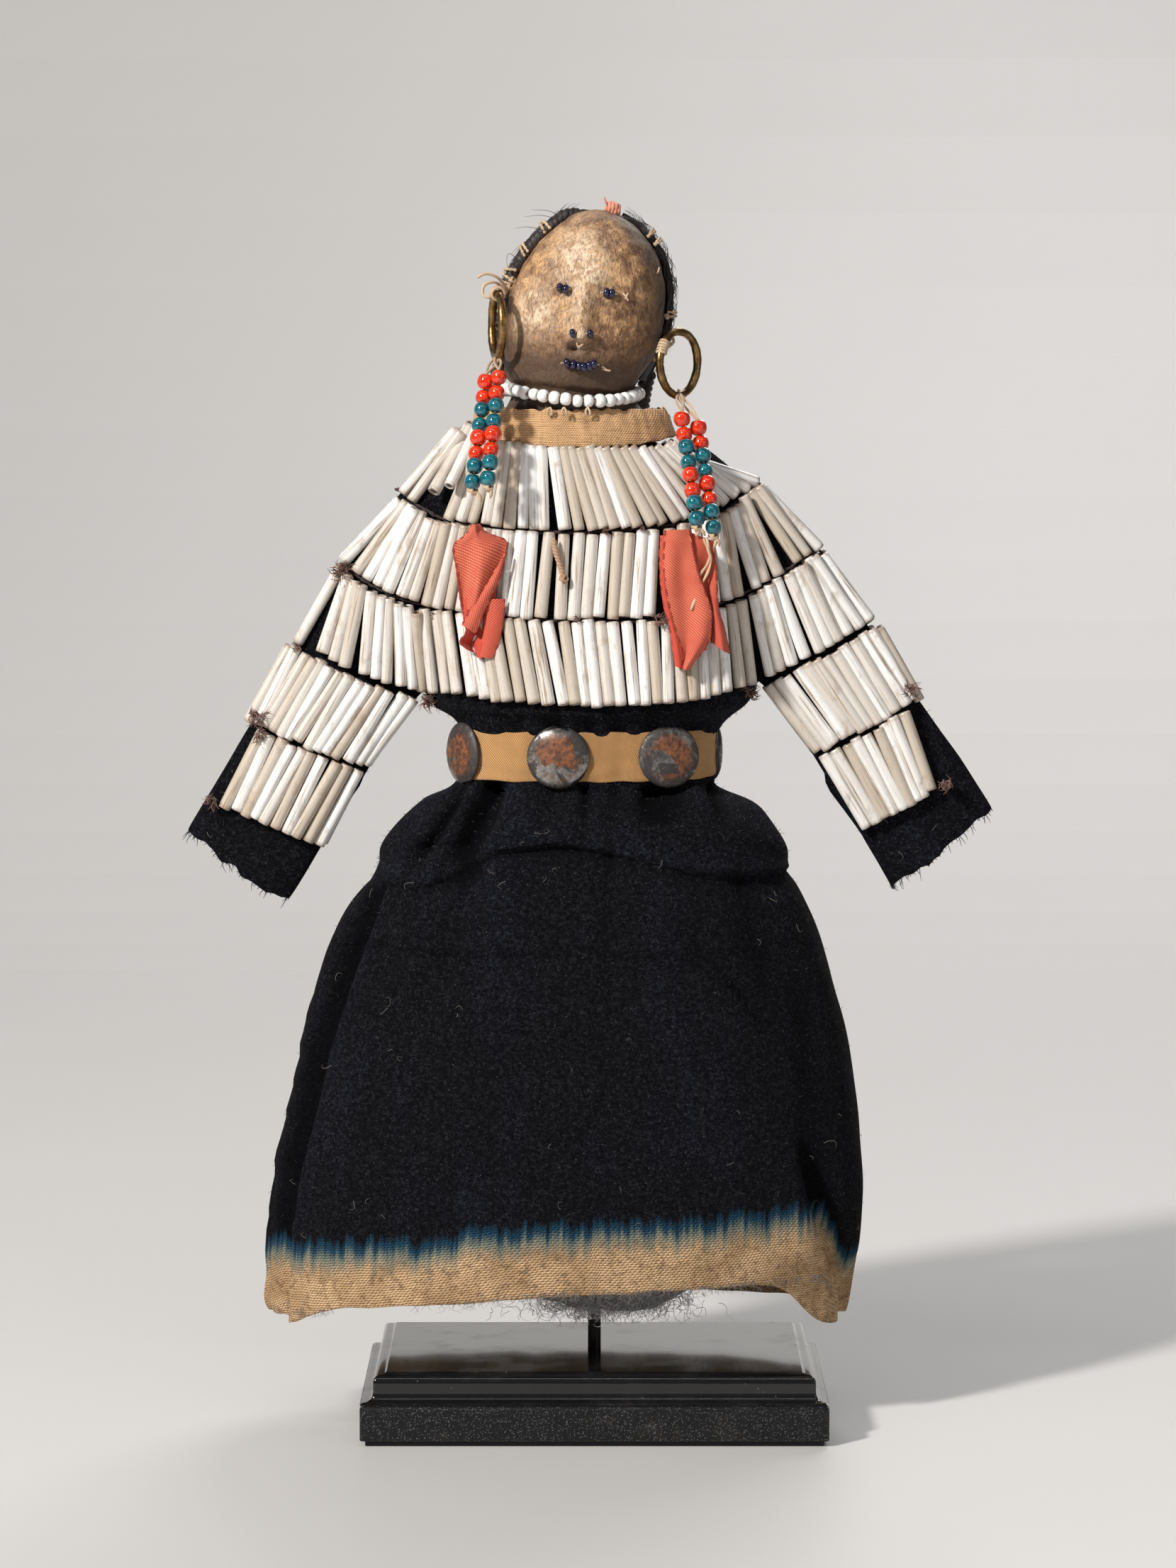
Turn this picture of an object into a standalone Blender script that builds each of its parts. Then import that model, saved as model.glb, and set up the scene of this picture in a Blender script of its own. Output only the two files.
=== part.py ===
"""A Plains-style hide doll in a wool dress set with rows of tube beads, held up by a rod in a moulded base.

Lengths are metres and +Z is up. The doll faces -Y, so -X is on the viewer's left.
The origin is the centre of the base's underside.
"""

import math

import bmesh
import bpy
import numpy as np
from mathutils import Matrix, Vector
from mathutils.bvhtree import BVHTree

# Clearance kept between neighbouring solids
GAP = 0.0003

# Stand
BASE_WIDTH = 0.133
BASE_DEPTH = 0.082
PAD_INSET = 0.0015
PAD_THICKNESS = 0.0012
FASCIA_HEIGHT = 0.0108
MOULDING_HEIGHT = 0.0080
ROD_RADIUS = 0.0019
ROD_SEAT_DEPTH = 0.012
ROD_TOP = 0.225

# Dress, seen from the front: rows are counted down from the neck line
WALL = 0.0016
NECK_Z = 0.2822
NECK_EDGE_RISE = 0.0028
NECK_CENTRE_X = -0.0055
NECK_HALF_WIDTH = 0.0345
NECK_HALF_DEPTH = 0.0165
ROW_PITCH = 0.0252
CUFF_REACH = {-1: 0.120, 1: 0.118}
CUFF_Z = {-1: 0.1745, 1: 0.1810}
ARMPIT_X = {-1: -0.0485, 1: 0.0470}
ARMPIT_Z = {-1: 0.2095, 1: 0.2130}
SLEEVE_INNER_RUN = {-1: 0.0370, 1: 0.0360}
SLEEVE_INNER_DROP = {-1: 0.0610, 1: 0.0600}
SHOULDER_BULGE = 0.015
SLEEVE_HALF_THICKNESS = 0.0045
CUFF_BOW = 0.0028
ARMPIT_DEPTH = 0.025

# Belt and its discs
BELT_CENTRE_Z = 0.1941
BELT_WIDTH = 0.0154
BELT_THICKNESS = 0.0012
DISC_RADIUS = 0.0089
DISC_HEIGHT = 0.0026
DISC_EDGE = 0.0007
DISC_COUNT = 6
FIRST_DISC_X = -0.0102
WAIST_LEFT = 0.0382
WAIST_RIGHT = 0.0342
WAIST_DEPTH = 0.0192
WAIST_HALF_HEIGHT = max(BELT_WIDTH / 2, DISC_RADIUS) + 0.0006

# Skirt: height, reach to the left, reach to the right, half depth, gathers, how far the front bows up
SKIRT_STATIONS = (
    (0.1780, 0.0520, 0.0470, 0.0260, 0.0013, 0.0030),
    (0.1710, 0.0585, 0.0520, 0.0290, 0.0013, 0.0060),
    (0.1645, 0.0630, 0.0558, 0.0310, 0.0006, 0.0085),
    (0.1615, 0.0612, 0.0540, 0.0292, 0.0, 0.0090),
    (0.1560, 0.0665, 0.0588, 0.0315, 0.0, 0.0085),
    (0.1430, 0.0755, 0.0648, 0.0330, 0.0, 0.0040),
    (0.1240, 0.0825, 0.0712, 0.0345, 0.0, 0.0),
    (0.1020, 0.0878, 0.0764, 0.0360, 0.0, 0.0),
    (0.0780, 0.0938, 0.0796, 0.0375, 0.0, 0.0),
    (0.0560, 0.0962, 0.0788, 0.0385, 0.0, 0.0),
)
HEM_LEFT = 0.0970
HEM_RIGHT = 0.0745
HEM_DEPTH = 0.0390
HEM_FRONT_Z = 0.0416
HEM_FRONT_SLOPE = 0.0050
HEM_FRONT_SAG = 0.0032
HEM_BACK_Z = 0.0290
FOLD_PROUD = 0.0016
FOLD_SUNK = 0.0034
FOLD_TOP_Z = {-1: 0.158, 1: 0.080}
PANEL_EDGE_SHARE = 0.90

# Tube beads
TUBE_WIDTH = 0.0037
TUBE_HEIGHT = 0.0034
TUBE_GAP = 0.0009
TUBE_JOIN_SHARE = 0.09
TUBE_EDGE_MARGIN = 0.0010
BARE_CUFF_SHARE = {-1: 0.13, 1: 0.24}
FRONT_PACKING = (0.76, 0.95, 0.95, 1.0, 1.0)
BACK_PACKING = (1.2, 1.7, 1.7, 1.7, 1.7)

# Head, neck and body
HEAD_TILT = math.radians(7)
HEAD_CENTRE_X = NECK_CENTRE_X
HEAD_BASE_Z = NECK_Z + 0.0153
HEAD_HEIGHT = 0.0515
HEAD_HALF_WIDTH = 0.0224
HEAD_HALF_DEPTH = 0.0195
# Sections of the head: share of its height, then its left, right and depth as shares of the half sizes
HEAD_SECTIONS = ((0.0, 0.90, 0.68, 0.86), (0.10, 0.94, 0.79, 0.93), (0.30, 0.975, 0.97, 0.99), (0.55, 0.93, 0.985, 1.0),
                 (0.75, 0.73, 0.875, 0.86), (0.88, 0.50, 0.66, 0.62), (0.96, 0.31, 0.43, 0.36), (1.0, 0.08, 0.14, 0.10))
NOSE_PROUD = 0.0022
NOSE_HALF_WIDTH = 0.0055
NOSE_SHARE = 0.38
NECK_STEM_HALF_WIDTH = 0.0203
NECK_STEM_HALF_DEPTH = 0.0158
BODY_CLEARANCE = 0.0012

# Band round the neck, and the string of beads above it
BAND_HEIGHT = 0.0100
BAND_THICKNESS = 0.0013
BAND_CENTRE_X = -0.0075
BAND_TOP_HALF_WIDTH = 0.0268
BAND_TOP_HALF_DEPTH = 0.0176
NECKLACE_BEAD_RADIUS = 0.0017
NECKLACE_PITCH = 0.0032

# Earrings and the strings of beads that hang from them
# Centre of each ring: x from the head's middle, y, and height above the chin
EAR_RINGS = {-1: (-0.0221, -0.0090, 0.0184), 1: (0.0295, -0.0035, 0.0079)}
RING_RADIUS = 0.0091
RING_WIRE_RADIUS = 0.0012
DROP_BEAD_RADIUS = 0.0021
DROP_TURNS = 4

# Ribbons
RIBBON_THICKNESS = 0.0008

# Hair
HAIR_THICKNESS = 0.0022
BRAID_RADIUS = 0.0016
CROWN_TIE_SHIFT = 0.0026

# Seed beads of the face
SEED_RADIUS = 0.0014
SEED_PITCH = 0.0016
# Rows of seed beads: name, x as a share of the head's half width, height as a share of the head's, number of beads
FACE_BEADS = (("left_eye_beads", -0.156, 0.561, 2), ("right_eye_beads", 0.429, 0.532, 2),
              ("left_nostril_bead", -0.036, 0.317, 1), ("right_nostril_bead", 0.188, 0.309, 1),
              ("mouth_beads", 0.071, 0.148, 6))

# How finely the cloth is divided
FRONT_COLUMNS = 14
BACK_COLUMNS = 10
SLEEVE_COLUMNS = 4


def clear_scene():
    for obj in list(bpy.data.objects):
        bpy.data.objects.remove(obj)


def material(name, colour, roughness, metallic=0.0):
    mat = bpy.data.materials.new(name)
    mat.use_nodes = True
    shader = mat.node_tree.nodes["Principled BSDF"]
    shader.inputs["Base Color"].default_value = (*colour, 1.0)
    shader.inputs["Roughness"].default_value = roughness
    shader.inputs["Metallic"].default_value = metallic
    return mat


def make_materials():
    return {
        "lacquer": material("black_lacquer", (0.012, 0.012, 0.014), 0.25),
        "felt": material("black_felt", (0.02, 0.02, 0.02), 0.95),
        "steel": material("black_steel", (0.02, 0.018, 0.016), 0.4, 0.6),
        "fleece": material("grey_fleece", (0.22, 0.22, 0.24), 1.0),
        "hide": material("smoked_hide", (0.33, 0.21, 0.12), 0.7),
        "wool": material("indigo_wool", (0.014, 0.016, 0.030), 0.95),
        "muslin": material("tan_muslin", (0.42, 0.27, 0.13), 0.9),
        "twill": material("ochre_twill", (0.52, 0.32, 0.11), 0.85),
        "tin": material("rusted_tin", (0.30, 0.24, 0.20), 0.35, 0.9),
        "white": material("white_glass", (0.80, 0.77, 0.70), 0.2),
        "porcelain": material("chalk_white", (0.85, 0.82, 0.78), 0.3),
        "brass": material("aged_brass", (0.42, 0.28, 0.11), 0.3, 0.9),
        "red": material("red_glass", (0.70, 0.05, 0.02), 0.15),
        "teal": material("teal_glass", (0.01, 0.22, 0.24), 0.15),
        "blue": material("cobalt_glass", (0.01, 0.015, 0.12), 0.12),
        "silk": material("coral_silk", (0.62, 0.11, 0.07), 0.7),
        "hair": material("dark_hair", (0.03, 0.022, 0.025), 0.6),
    }


def place(name, bm, mat, smooth_angle=None):
    """Turns a bmesh into a named object with its faces outwards."""
    bmesh.ops.recalc_face_normals(bm, faces=bm.faces)
    mesh = bpy.data.meshes.new(name)
    bm.to_mesh(mesh)
    bm.free()
    mesh.materials.append(mat)
    if smooth_angle:
        mesh.shade_smooth()
        mesh.set_sharp_from_angle(angle=smooth_angle)
    obj = bpy.data.objects.new(name, mesh)
    bpy.context.scene.collection.objects.link(obj)
    return obj


def skin(rings, loop=False):
    """A closed skin over rings of equally many points: capped at both ends, or joined end to start."""
    bm = bmesh.new()
    made = [[bm.verts.new(p) for p in ring] for ring in rings]
    count = len(made[0])
    following = made[1:] + made[:1] if loop else made[1:]
    for low, high in zip(made, following):
        for i in range(count):
            j = (i + 1) % count
            bm.faces.new((low[i], low[j], high[j], high[i]))
    if not loop:
        bm.faces.new(list(reversed(made[0])))
        bm.faces.new(made[-1])
    return bm


def ellipse(centre, half_x, half_y, count, power=2.0):
    """A level ring of points, squarer than an ellipse where power is over 2."""
    ring = []
    for i in range(count):
        angle = 2 * math.pi * i / count
        c, s = math.cos(angle), math.sin(angle)
        x = math.copysign(abs(c) ** (2 / power), c)
        y = math.copysign(abs(s) ** (2 / power), s)
        ring.append(Vector((centre[0] + half_x * x, centre[1] + half_y * y, centre[2])))
    return ring


def tube_rings(path, radii, sides, up=Vector((0, -1, 0))):
    """Rings across a path, each square to it, with a radius of its own."""
    rings = []
    for i, point in enumerate(path):
        along = (path[min(i + 1, len(path) - 1)] - path[max(i - 1, 0)]).normalized()
        across = along.cross(up).normalized()
        other = across.cross(along)
        ring = []
        for k in range(sides):
            angle = 2 * math.pi * (k + 0.5) / sides
            ring.append(point + radii[i] * (math.cos(angle) * across + math.sin(angle) * other))
        rings.append(ring)
    return rings


def smooth_path(points, count):
    """Evenly spaced points on a smooth curve through the given ones."""
    points = [Vector(p) for p in points]
    padded = [2 * points[0] - points[1], *points, 2 * points[-1] - points[-2]]
    fine = []
    for a, b, c, d in zip(padded, padded[1:], padded[2:], padded[3:]):
        for t in (k / 12 for k in range(12)):
            fine.append(
                0.5 * (2 * b + (c - a) * t + (2 * a - 5 * b + 4 * c - d) * t**2
                       + (3 * b - a - 3 * c + d) * t**3)
            )
    fine.append(points[-1])
    return resample(fine, count)


def resample(points, count):
    """The same line as count points at equal distances along it."""
    lengths = [0.0]
    for a, b in zip(points, points[1:]):
        lengths.append(lengths[-1] + (b - a).length)
    wanted = np.linspace(0, lengths[-1], count)
    axes = [np.interp(wanted, lengths, [p[k] for p in points]) for k in range(3)]
    return [Vector((float(x), float(y), float(z))) for x, y, z in zip(*axes)]


def length_of(points):
    return sum((b - a).length for a, b in zip(points, points[1:]))


def spaced(start, end, count):
    return [start + (end - start) * i / (count - 1) for i in range(count)]


def smoothstep(t):
    t = min(1.0, max(0.0, t))
    return t * t * (3 - 2 * t)


# Stand


def rectangle(inset, z):
    x = BASE_WIDTH / 2 - inset
    y = BASE_DEPTH / 2 - inset
    return [Vector((-x, -y, z)), Vector((x, -y, z)), Vector((x, y, z)), Vector((-x, y, z))]


def moulding_profile():
    """Inset and height of the base's side: an upright fascia, a cove, and a rounded top edge."""
    top_of_fascia = PAD_THICKNESS + FASCIA_HEIGHT
    cove = 0.45 * MOULDING_HEIGHT
    round_over = MOULDING_HEIGHT - cove
    points = [(0.0, PAD_THICKNESS + GAP), (0.0, top_of_fascia)]
    for i in range(4):
        angle = math.radians(90 * i / 3)
        points.append((0.0006 + cove * 0.8 * math.sin(angle), top_of_fascia + cove * (1 - math.cos(angle))))
    start = points[-1][0]
    for i in range(1, 5):
        angle = math.radians(90 * i / 4)
        points.append((start + round_over * (1 - math.cos(angle)),
                       top_of_fascia + cove + round_over * math.sin(angle)))
    return points


def base_top_z():
    return PAD_THICKNESS + FASCIA_HEIGHT + MOULDING_HEIGHT


def rod_cutter():
    """A guide the width of the rod and its clearance, for the holes that the rod goes into."""
    bottom = base_top_z() - ROD_SEAT_DEPTH - GAP
    rings = [ellipse((0, 0, z), ROD_RADIUS + GAP, ROD_RADIUS + GAP, 10) for z in (bottom, ROD_TOP + GAP)]
    cutter = place("rod_cutter", skin(rings), None)
    cutter.hide_render = True
    cutter.display_type = "WIRE"
    return cutter


def drill(obj, cutter):
    hole = obj.modifiers.new("rod_hole", "BOOLEAN")
    hole.operation = "DIFFERENCE"
    hole.object = cutter


def make_stand(mats, cutter):
    pad_rings = [rectangle(PAD_INSET, 0.0), rectangle(PAD_INSET, PAD_THICKNESS)]
    place("stand_pad", skin(pad_rings), mats["felt"])
    base = place("stand_base", skin([rectangle(*p) for p in moulding_profile()]), mats["lacquer"], 0.6)
    drill(base, cutter)
    rod_bottom = base_top_z() - ROD_SEAT_DEPTH
    rod_rings = [ellipse((0, 0, z), ROD_RADIUS, ROD_RADIUS, 10) for z in (rod_bottom, ROD_TOP)]
    place("stand_rod", skin(rod_rings), mats["steel"], 0.7)


# Dress outline


def outer_edge(side):
    """The sleeve's outer edge as points (x, 0, z), from the shoulder to the cuff's corner."""
    shoulder = Vector((NECK_CENTRE_X + side * NECK_HALF_WIDTH, 0, NECK_Z + NECK_EDGE_RISE))
    corner = Vector((side * CUFF_REACH[side], 0, CUFF_Z[side]))
    run = corner - shoulder
    outward = Vector((-side * run.z, 0, side * run.x)).normalized()
    first = shoulder + 0.3 * run + SHOULDER_BULGE * outward
    second = shoulder + 0.65 * run + 0.1 * SHOULDER_BULGE * outward
    points = []
    for t in (k / 59 for k in range(60)):
        points.append((1 - t) ** 3 * shoulder + 3 * (1 - t) ** 2 * t * first
                      + 3 * (1 - t) * t**2 * second + t**3 * corner)
    return points


def at_length(points, length):
    """The point this far along a line, or its end."""
    for a, b in zip(points, points[1:]):
        step = (b - a).length
        if length <= step:
            return a.lerp(b, length / step)
        length -= step
    return points[-1].copy()


def armpit(side):
    return Vector((ARMPIT_X[side], 0, ARMPIT_Z[side]))


def cuff_inner(side):
    return armpit(side) + Vector((side * SLEEVE_INNER_RUN[side], 0, -SLEEVE_INNER_DROP[side]))


def inner_edge_point(side, row):
    """On the sleeve's underside seam, which starts at the armpit, three rows down."""
    seam = cuff_inner(side) - armpit(side)
    return armpit(side) + seam * min(1.0, (row - 3) * ROW_PITCH / seam.length)


def row_point(share, row, edges):
    """A point of the cape's front view: share runs from the left edge to the right, row counts down."""
    left = at_length(edges[-1], row * ROW_PITCH)
    right = at_length(edges[1], row * ROW_PITCH)
    across = 2 * share - 1
    side = -1 if across < 0 else 1
    edge_z = left.z if across < 0 else right.z
    middle = NECK_Z - row * ROW_PITCH
    z = middle + (edge_z - middle) * abs(across) ** 2.6
    parting = row - 2
    if parting > 0:
        armpit_share = sleeve_share(side, edges)
        inside = ARMPIT_Z[side] + (3 - row) * ROW_PITCH
        if abs(across) > armpit_share:
            parted = inside + (edge_z - inside) * (abs(across) - armpit_share) / (1 - armpit_share)
        else:
            parted = middle + (inside - middle) * (abs(across) / armpit_share) ** 2
        z += (parted - z) * parting
    return Vector((left.x + (right.x - left.x) * share, 0, z))


def sleeve_share(side, edges):
    """How far across, from 0 at the centre line to 1 at the edge, the armpit lies three rows down."""
    left = at_length(edges[-1], 3 * ROW_PITCH).x
    right = at_length(edges[1], 3 * ROW_PITCH).x
    return abs(2 * (ARMPIT_X[side] - left) / (right - left) - 1)


def cape_shares(body_columns, edges):
    """Where the cloth's columns cross the cape: sleeve, body and sleeve."""
    left, right = sleeve_share(-1, edges), sleeve_share(1, edges)
    shares = [(1 - left) / 2 * i / SLEEVE_COLUMNS for i in range(SLEEVE_COLUMNS)]
    start, end = (1 - left) / 2, (1 + right) / 2
    for i in range(body_columns + 1):
        u = -math.cos(math.pi * i / body_columns)
        shares.append(start + (end - start) * (u + 1) / 2)
    shares += [end + (1 - end) * i / SLEEVE_COLUMNS for i in range(1, SLEEVE_COLUMNS + 1)]
    return shares


def sleeve_fullness(w):
    """Half thickness across a sleeve as a share of its middle, w from one edge to the other."""
    return math.sqrt(max(0.0, 4 * w * (1 - w)))


def cape_depth(index, share, row, columns):
    """How far the cloth stands in front of, or behind, the plane through both sleeves."""
    ellipse_depth = NECK_HALF_DEPTH * math.sqrt(max(0.0, 1 - (2 * share - 1) ** 2))
    if index <= SLEEVE_COLUMNS:
        parted = SLEEVE_HALF_THICKNESS * sleeve_fullness(index / SLEEVE_COLUMNS)
    elif index >= SLEEVE_COLUMNS + columns:
        parted = SLEEVE_HALF_THICKNESS * sleeve_fullness((index - SLEEVE_COLUMNS - columns) / SLEEVE_COLUMNS)
    else:
        u = -math.cos(math.pi * (index - SLEEVE_COLUMNS) / columns)
        parted = ARMPIT_DEPTH * section_depth(u)
    blend = (row / 3) ** 2.5
    return ellipse_depth * (1 - blend) + parted * blend


def section_depth(u, power=2.3):
    """Depth of the body's rounded section at u, from -1 at the left side to 1 at the right."""
    return max(0.0, 1 - abs(u) ** power) ** (1 / power)


# Dress cloth


class Cloth:
    """Collects the dress's outer surface, sharing the points where its panels meet."""

    def __init__(self):
        self.bm = bmesh.new()
        self.verts = {}

    def vert(self, point):
        key = tuple(round(c * 1e6) for c in point)
        if key not in self.verts:
            self.verts[key] = self.bm.verts.new(point)
        return self.verts[key]

    def panel(self, lines):
        """Quads between successive lines of equally many points."""
        for upper, lower in zip(lines, lines[1:]):
            for i in range(len(upper) - 1):
                corners = [self.vert(p) for p in (upper[i], lower[i], lower[i + 1], upper[i + 1])]
                unique = list(dict.fromkeys(corners))
                if len(unique) > 2:
                    self.bm.faces.new(unique)


def cape_line(row, facing, columns, edges):
    line = []
    for index, share in enumerate(cape_shares(columns, edges)):
        point = row_point(share, row, edges)
        point.y = facing * cape_depth(index, share, row, columns)
        line.append(point)
    return line


def sleeve_line(side, row, facing, edges):
    """Across one sleeve, from its outer edge to its inner one. Row None is the cuff."""
    if row is None:
        outer, inner = edges[side][-1], cuff_inner(side)
    else:
        outer, inner = at_length(edges[side], row * ROW_PITCH), inner_edge_point(side, row)
    line = []
    for i in range(SLEEVE_COLUMNS + 1):
        w = i / SLEEVE_COLUMNS
        point = outer.lerp(inner, w)
        point.y = facing * SLEEVE_HALF_THICKNESS * sleeve_fullness(w)
        if row is None:
            point.z -= CUFF_BOW * 4 * w * (1 - w)
        line.append(point)
    return line


def body_stations():
    """Height, reach left, reach right, half depth, gathers and front bow, from the pouch to above the hem."""
    waist_top = BELT_CENTRE_Z + WAIST_HALF_HEIGHT
    waist_bottom = BELT_CENTRE_Z - WAIST_HALF_HEIGHT
    pouch_z = (waist_top + min(ARMPIT_Z.values())) / 2
    return (
        (pouch_z, WAIST_LEFT + 0.0072, WAIST_RIGHT + 0.0108, ARMPIT_DEPTH + 0.0005, 0.0006, 0.0),
        (waist_top, WAIST_LEFT, WAIST_RIGHT, WAIST_DEPTH, 0.0, 0.0),
        (waist_bottom, WAIST_LEFT, WAIST_RIGHT, WAIST_DEPTH, 0.0, 0.0),
        (waist_bottom - 0.0025, WAIST_LEFT + 0.0060, WAIST_RIGHT + 0.0060, WAIST_DEPTH + 0.0030, 0.0010, 0.0010),
        *SKIRT_STATIONS,
    )


def fold_offset(u, z, facing):
    """The front panel's turned edges: each stands proud, with a groove beside it."""
    side = -1 if u < 0 else 1
    if facing > 0 or z > FOLD_TOP_Z[side]:
        return 0.0
    depth = smoothstep((FOLD_TOP_Z[side] - z) / 0.03)
    if PANEL_EDGE_SHARE < abs(u) < 0.97:
        return -FOLD_SUNK * depth
    if PANEL_EDGE_SHARE - 0.05 < abs(u) <= PANEL_EDGE_SHARE:
        return FOLD_PROUD * depth
    return 0.0


def body_line(station, facing, columns):
    """Half of a level section of the body, from the left side to the right."""
    z, left, right, depth, gathers, bow = station
    centre, half = (right - left) / 2, (right + left) / 2
    line = []
    for i in range(columns + 1):
        u = -math.cos(math.pi * i / columns)
        deep = section_depth(u)
        swell = 0.0 if i in (0, columns) else (gathers if i % 2 else -gathers)
        swell += fold_offset(u, z, facing)
        x = centre + half * u + swell * u
        y = facing * (depth * deep + swell * math.sqrt(1 - u * u))
        rise = bow * deep if facing < 0 else 0.0
        line.append(Vector((x, y, z + rise)))
    return line


def hem_z(u, facing):
    if facing < 0 and abs(u) <= PANEL_EDGE_SHARE:
        return HEM_FRONT_Z + HEM_FRONT_SLOPE * u - HEM_FRONT_SAG * u * u
    return HEM_BACK_Z


def hem_line(facing, columns):
    station = (HEM_BACK_Z, HEM_LEFT, HEM_RIGHT, HEM_DEPTH, 0.0, 0.0)
    line = body_line(station, facing, columns)
    for i, point in enumerate(line):
        point.z = hem_z(-math.cos(math.pi * i / columns), facing)
    return line


def dress_surface(edges):
    cloth = Cloth()
    for facing, columns in ((-1, FRONT_COLUMNS), (1, BACK_COLUMNS)):
        cape = [cape_line(row, facing, columns, edges) for row in range(4)]
        cloth.panel(cape)
        for side in (-1, 1):
            at_armpit = cape[3][: SLEEVE_COLUMNS + 1] if side < 0 else cape[3][: -SLEEVE_COLUMNS - 2 : -1]
            rows = [sleeve_line(side, row, facing, edges) for row in (4, 5, None)]
            cloth.panel([at_armpit, *rows])
        body_top = cape[3][SLEEVE_COLUMNS: SLEEVE_COLUMNS + columns + 1]
        body = [body_line(station, facing, columns) for station in body_stations()]
        cloth.panel([body_top, *body, hem_line(facing, columns)])
    bmesh.ops.recalc_face_normals(cloth.bm, faces=cloth.bm.faces)
    return cloth.bm


def make_dress(mats, edges):
    """The wool dress: one skin, open at the neck, the cuffs and the hem. Returns what beads are laid on."""
    bm = dress_surface(edges)
    bmesh.ops.triangulate(bm, faces=bm.faces)
    surface = BVHTree.FromBMesh(bm)
    dress = place("dress", bm, mats["wool"], 0.7)
    wall = dress.modifiers.new("cloth_thickness", "SOLIDIFY")
    wall.thickness = WALL
    wall.offset = -1
    return surface


def on_dress(surface, x, z, facing):
    """Where the cloth is met at x and z, from the front or from behind."""
    start = Vector((x, facing * 0.2, z))
    hit = surface.ray_cast(start, Vector((0, -facing, 0)))[0]
    return hit if hit else Vector((x, 0, z))


# Rows of tube beads


def laid_line(surface, flat_points, facing):
    return [on_dress(surface, p.x, p.z, facing) for p in flat_points]


def row_lines(surface, flat_top, flat_bottom, facing, count):
    """The bead row's upper and lower lines on the cloth, each as many equal steps as there are beads."""
    lines = []
    for flat in (flat_top, flat_bottom):
        line = laid_line(surface, flat, facing)
        dense = resample(line, 200)
        length = length_of(dense)
        trimmed = [at_length(dense, t) for t in spaced(TUBE_EDGE_MARGIN, length - TUBE_EDGE_MARGIN, 120)]
        lines.append(resample(trimmed, 2 * count + 1))
    return lines


def clear_of(surface, upper, lower, outward):
    """How far the flat strip between two pairs of points must be lifted to pass over the cloth."""
    lift = 0.0
    for across in spaced(0, 1, 5):
        high, low = upper[0].lerp(upper[1], across), lower[0].lerp(lower[1], across)
        for t in spaced(0, 1, 17):
            point = low.lerp(high, t)
            hit = surface.ray_cast(point + outward * 0.01, -outward, 0.02)[0]
            if hit:
                lift = max(lift, (hit - point).dot(outward))
    return lift + 2 * GAP


def bead_row(surface, flat_top, flat_bottom, facing, packing, join_share):
    """A row of tube beads laid side by side on the cloth, joined where their upper ends touch."""
    count = max(3, round((length_of(laid_line(surface, flat_top, facing)) - 2 * TUBE_EDGE_MARGIN)
                         / (TUBE_WIDTH * packing)))
    upper, lower = row_lines(surface, flat_top, flat_bottom, facing, count)
    outwards = []
    for i in range(2 * count + 1):
        along = upper[min(i + 1, 2 * count)] - upper[max(i - 1, 0)] + lower[min(i + 1, 2 * count)] - lower[max(i - 1, 0)]
        outward = along.cross(lower[i] - upper[i]).normalized()
        outwards.append(outward if outward.y * facing > 0 else -outward)

    bm = bmesh.new()

    def rib(point, outward, sideways, inset):
        """Back, valley and shoulder of one side of a bead's section."""
        return (bm.verts.new(point), bm.verts.new(point + outward * TUBE_HEIGHT * 0.4),
                bm.verts.new(point + outward * TUBE_HEIGHT + sideways * inset))

    lifts = []
    for i in range(0, 2 * count, 2):
        lifts.append(clear_of(surface, upper[i: i + 3: 2], lower[i: i + 3: 2], outwards[i + 1]))
    lifted = []
    for i in range(0, 2 * count + 1, 2):
        lift = outwards[i] * max(lifts[max(0, i // 2 - 1): i // 2 + 1])
        lifted.append((upper[i] + lift, lower[i] + lift))
    web = []
    for i, (high, low) in enumerate(lifted):
        out = outwards[2 * i]
        joined = high.lerp(low, join_share)
        web.append([(bm.verts.new(p), bm.verts.new(p + out * TUBE_HEIGHT * 0.4)) for p in (high, joined)])
    for i in range(count):
        left_high, left_low = lifted[i]
        right_high, right_low = lifted[i + 1]
        out = outwards[2 * i + 1]
        sideways = (right_high - left_high).normalized()
        inset = TUBE_WIDTH * 0.24
        top = (web[i][0], web[i + 1][0])
        joined = (web[i][1], web[i + 1][1])
        shoulders_top = [bm.verts.new(left_high + out * TUBE_HEIGHT + sideways * inset),
                         bm.verts.new(right_high + out * TUBE_HEIGHT - sideways * inset)]
        if join_share < 1:
            half = 0.5 * min(TUBE_WIDTH, (right_low - left_low).length - 2 * GAP)
            middle = (left_low + right_low) / 2
            across = (right_low - left_low).normalized()
            ends = [middle - across * half, middle + across * half]
            foot = [(bm.verts.new(p), bm.verts.new(p + out * TUBE_HEIGHT * 0.4)) for p in ends]
        else:
            across = (right_low - left_low).normalized()
            ends = [left_low, right_low]
            foot = joined
        shoulders_foot = [bm.verts.new(ends[0] + out * TUBE_HEIGHT + across * inset),
                          bm.verts.new(ends[1] + out * TUBE_HEIGHT - across * inset)]
        add_bead_faces(bm, top, joined, foot, shoulders_top, shoulders_foot, join_share < 1)
        close_row_end(bm, i == 0, top[0], joined[0])
        close_row_end(bm, i == count - 1, top[1], joined[1])
    return bm


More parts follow.
